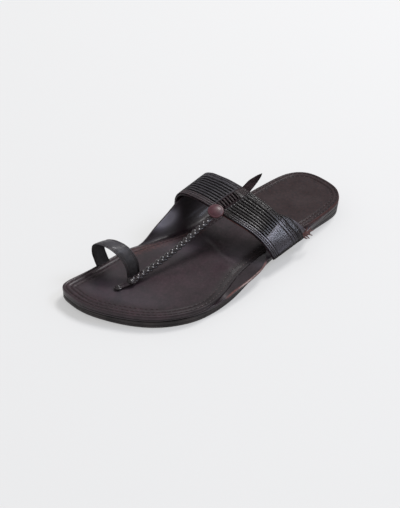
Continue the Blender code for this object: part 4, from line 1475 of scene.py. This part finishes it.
loop = np.array(RING_LOOP)
loop_keys = travelled(loop)
middles = read_rows(loop_keys, loop, np.linspace(0.0, loop_keys[-1], 48))
keys = travelled(middles)
broad = RING_BROAD * hump(keys / keys[-1], 0.55, 0.22)
middles[:, 1] -= broad / 2.0
tilt = RING_TILT * (middles[:, 2] - middles[:, 2].min()) / np.ptp(middles[:, 2])
sides = unit(np.stack((0.0 * tilt, 0.0 * tilt + RING_WIDTH, -tilt), axis=-1))
lifts = unit(np.cross(np.gradient(middles, axis=0), sides))
halves = (RING_WIDTH + broad) / 2.0
print(f"the toe ring's ribbon is {keys[-1]:.1f} mm long")

# %% [markdown]
# ## The ribbon of the toe ring
#
# The ribbon's face has a creased line and a fainter one beside either rim, and swells a little
# between them. All of it is read from the distance to the nearer rim, so that both rims match.

# %% Toe ring
RING = 1.9                 # its face lies half of this over the loop
RING_ROUNDED = 0.55
RING_CREASES = (           # distance from the rim, width and depth of the two lines
    (1.5, 0.28, 0.26), (2.9, 0.3, 0.18))
RING_BELLY = 0.22
RING_SHEEN = 0.16

bm, _ = flat_slab(44, 150)
flat = coords(bm)
from_rim = (1.0 - abs(flat[:, 0] * 2.0 - 1.0)) * RING_WIDTH / 2.0
rounded = RING_ROUNDED * np.exp(-from_rim / 0.35)
lines = sum(depth * hump(from_rim, middle, width) for middle, width, depth in RING_CREASES)
top = RING / 2.0 - rounded - lines + RING_BELLY * soft_step(3.2, 5.0, from_rim)
# Painted shade in the two creased lines, and a painted sheen along the top of the loop.
grime = 0.7 * hump(from_rim, 1.5, 0.25) + 0.4 * hump(from_rim, 2.9, 0.25)
paint(bm, grime=grime, bloom=RING_SHEEN * hump(flat[:, 1], 0.5, 0.2))
lay(bm, keys, middles, sides, lifts, halves, top)
finished("toe_ring_skin", bm, ring_leather, "band_leather", "toe_ring")

# %% [markdown]
# ## Stitches of the toe ring
#
# Each rim is held by a row of its own. The rows run at a fixed share of the ribbon's half width
# instead of at a fixed distance from its middle, so that they follow it where it broadens.

# %% Stitches of the toe ring
RING_SEAMS = (-0.80, 0.80)     # shares of the half width
RING_PITCH = 3.4

bm = bmesh.new()
places = np.arange(3.0, keys[-1] - 3.0, RING_PITCH)
ups = read_rows(keys, lifts, places)
for share in RING_SEAMS:
    rim = middles + sides * share * halves[:, None] + lifts * (RING / 2.0)
    centres = read_rows(keys, rim, places)
    for centre, along, lift in zip(centres, np.gradient(centres, axis=0), ups):
        stitch(bm, centre - lift * 0.1, along, lift, 2.3, 0.6)
finished("toe_ring_stitches", bm, thread, "band_leather")

# %% [markdown]
# ## Tab
#
# An oval of oxblood leather hides the place where the plait passes under the band. It is a
# profile turned on a wheel and pressed oval: a low dome, a shallow groove and a rolled rim.

# %% Tab
TAB_WIDTH = 14.0
TAB_LENGTH = 15.0
TAB_SHIFT = 1.8            # how far it sits to the outer side of the centre strap
TAB_PLACE = -0.05          # its middle, as a share of the band's width
TAB_LIFT = 0.45
TAB_RAW = 0.5              # how far its rim shows the core
TAB_PROFILE = ((0.0, 2.30), (0.25, 2.25), (0.50, 2.02), (0.70, 1.66), (0.80, 1.34), (0.84, 1.18),
               (0.88, 1.22), (0.94, 1.12), (0.99, 0.72), (1.00, 0.36), (0.97, 0.0))

girth = np.array([STRAP_GIRTH + TAB_SHIFT])
front = band_points(girth, np.zeros(1))
lift = Vector(band_normals(girth, np.zeros(1))[0])
back = Vector((band_points(girth, np.full(1, 0.4)) - front)[0]).normalized()
over = back.cross(lift)
base = Vector(band_points(girth, np.full(1, TAB_PLACE))[0]) + lift * TAB_LIFT
bm = turned(TAB_PROFILE, 40)
paint(bm, raw=TAB_RAW * soft_step(0.95, 1.0, np.linalg.norm(coords(bm)[:, :2], axis=1)))
shape = Matrix((over * TAB_WIDTH / 2.0, back * TAB_LENGTH / 2.0, lift)).transposed().to_4x4()
seat = Matrix.Translation(place(*base)) @ Matrix.Scale(MM, 4) @ shape
bmesh.ops.transform(bm, matrix=seat, verts=bm.verts)
bmesh.ops.recalc_face_normals(bm, faces=bm.faces)
finished("tab_skin", bm, tab_leather, "tab_leather", "tab")
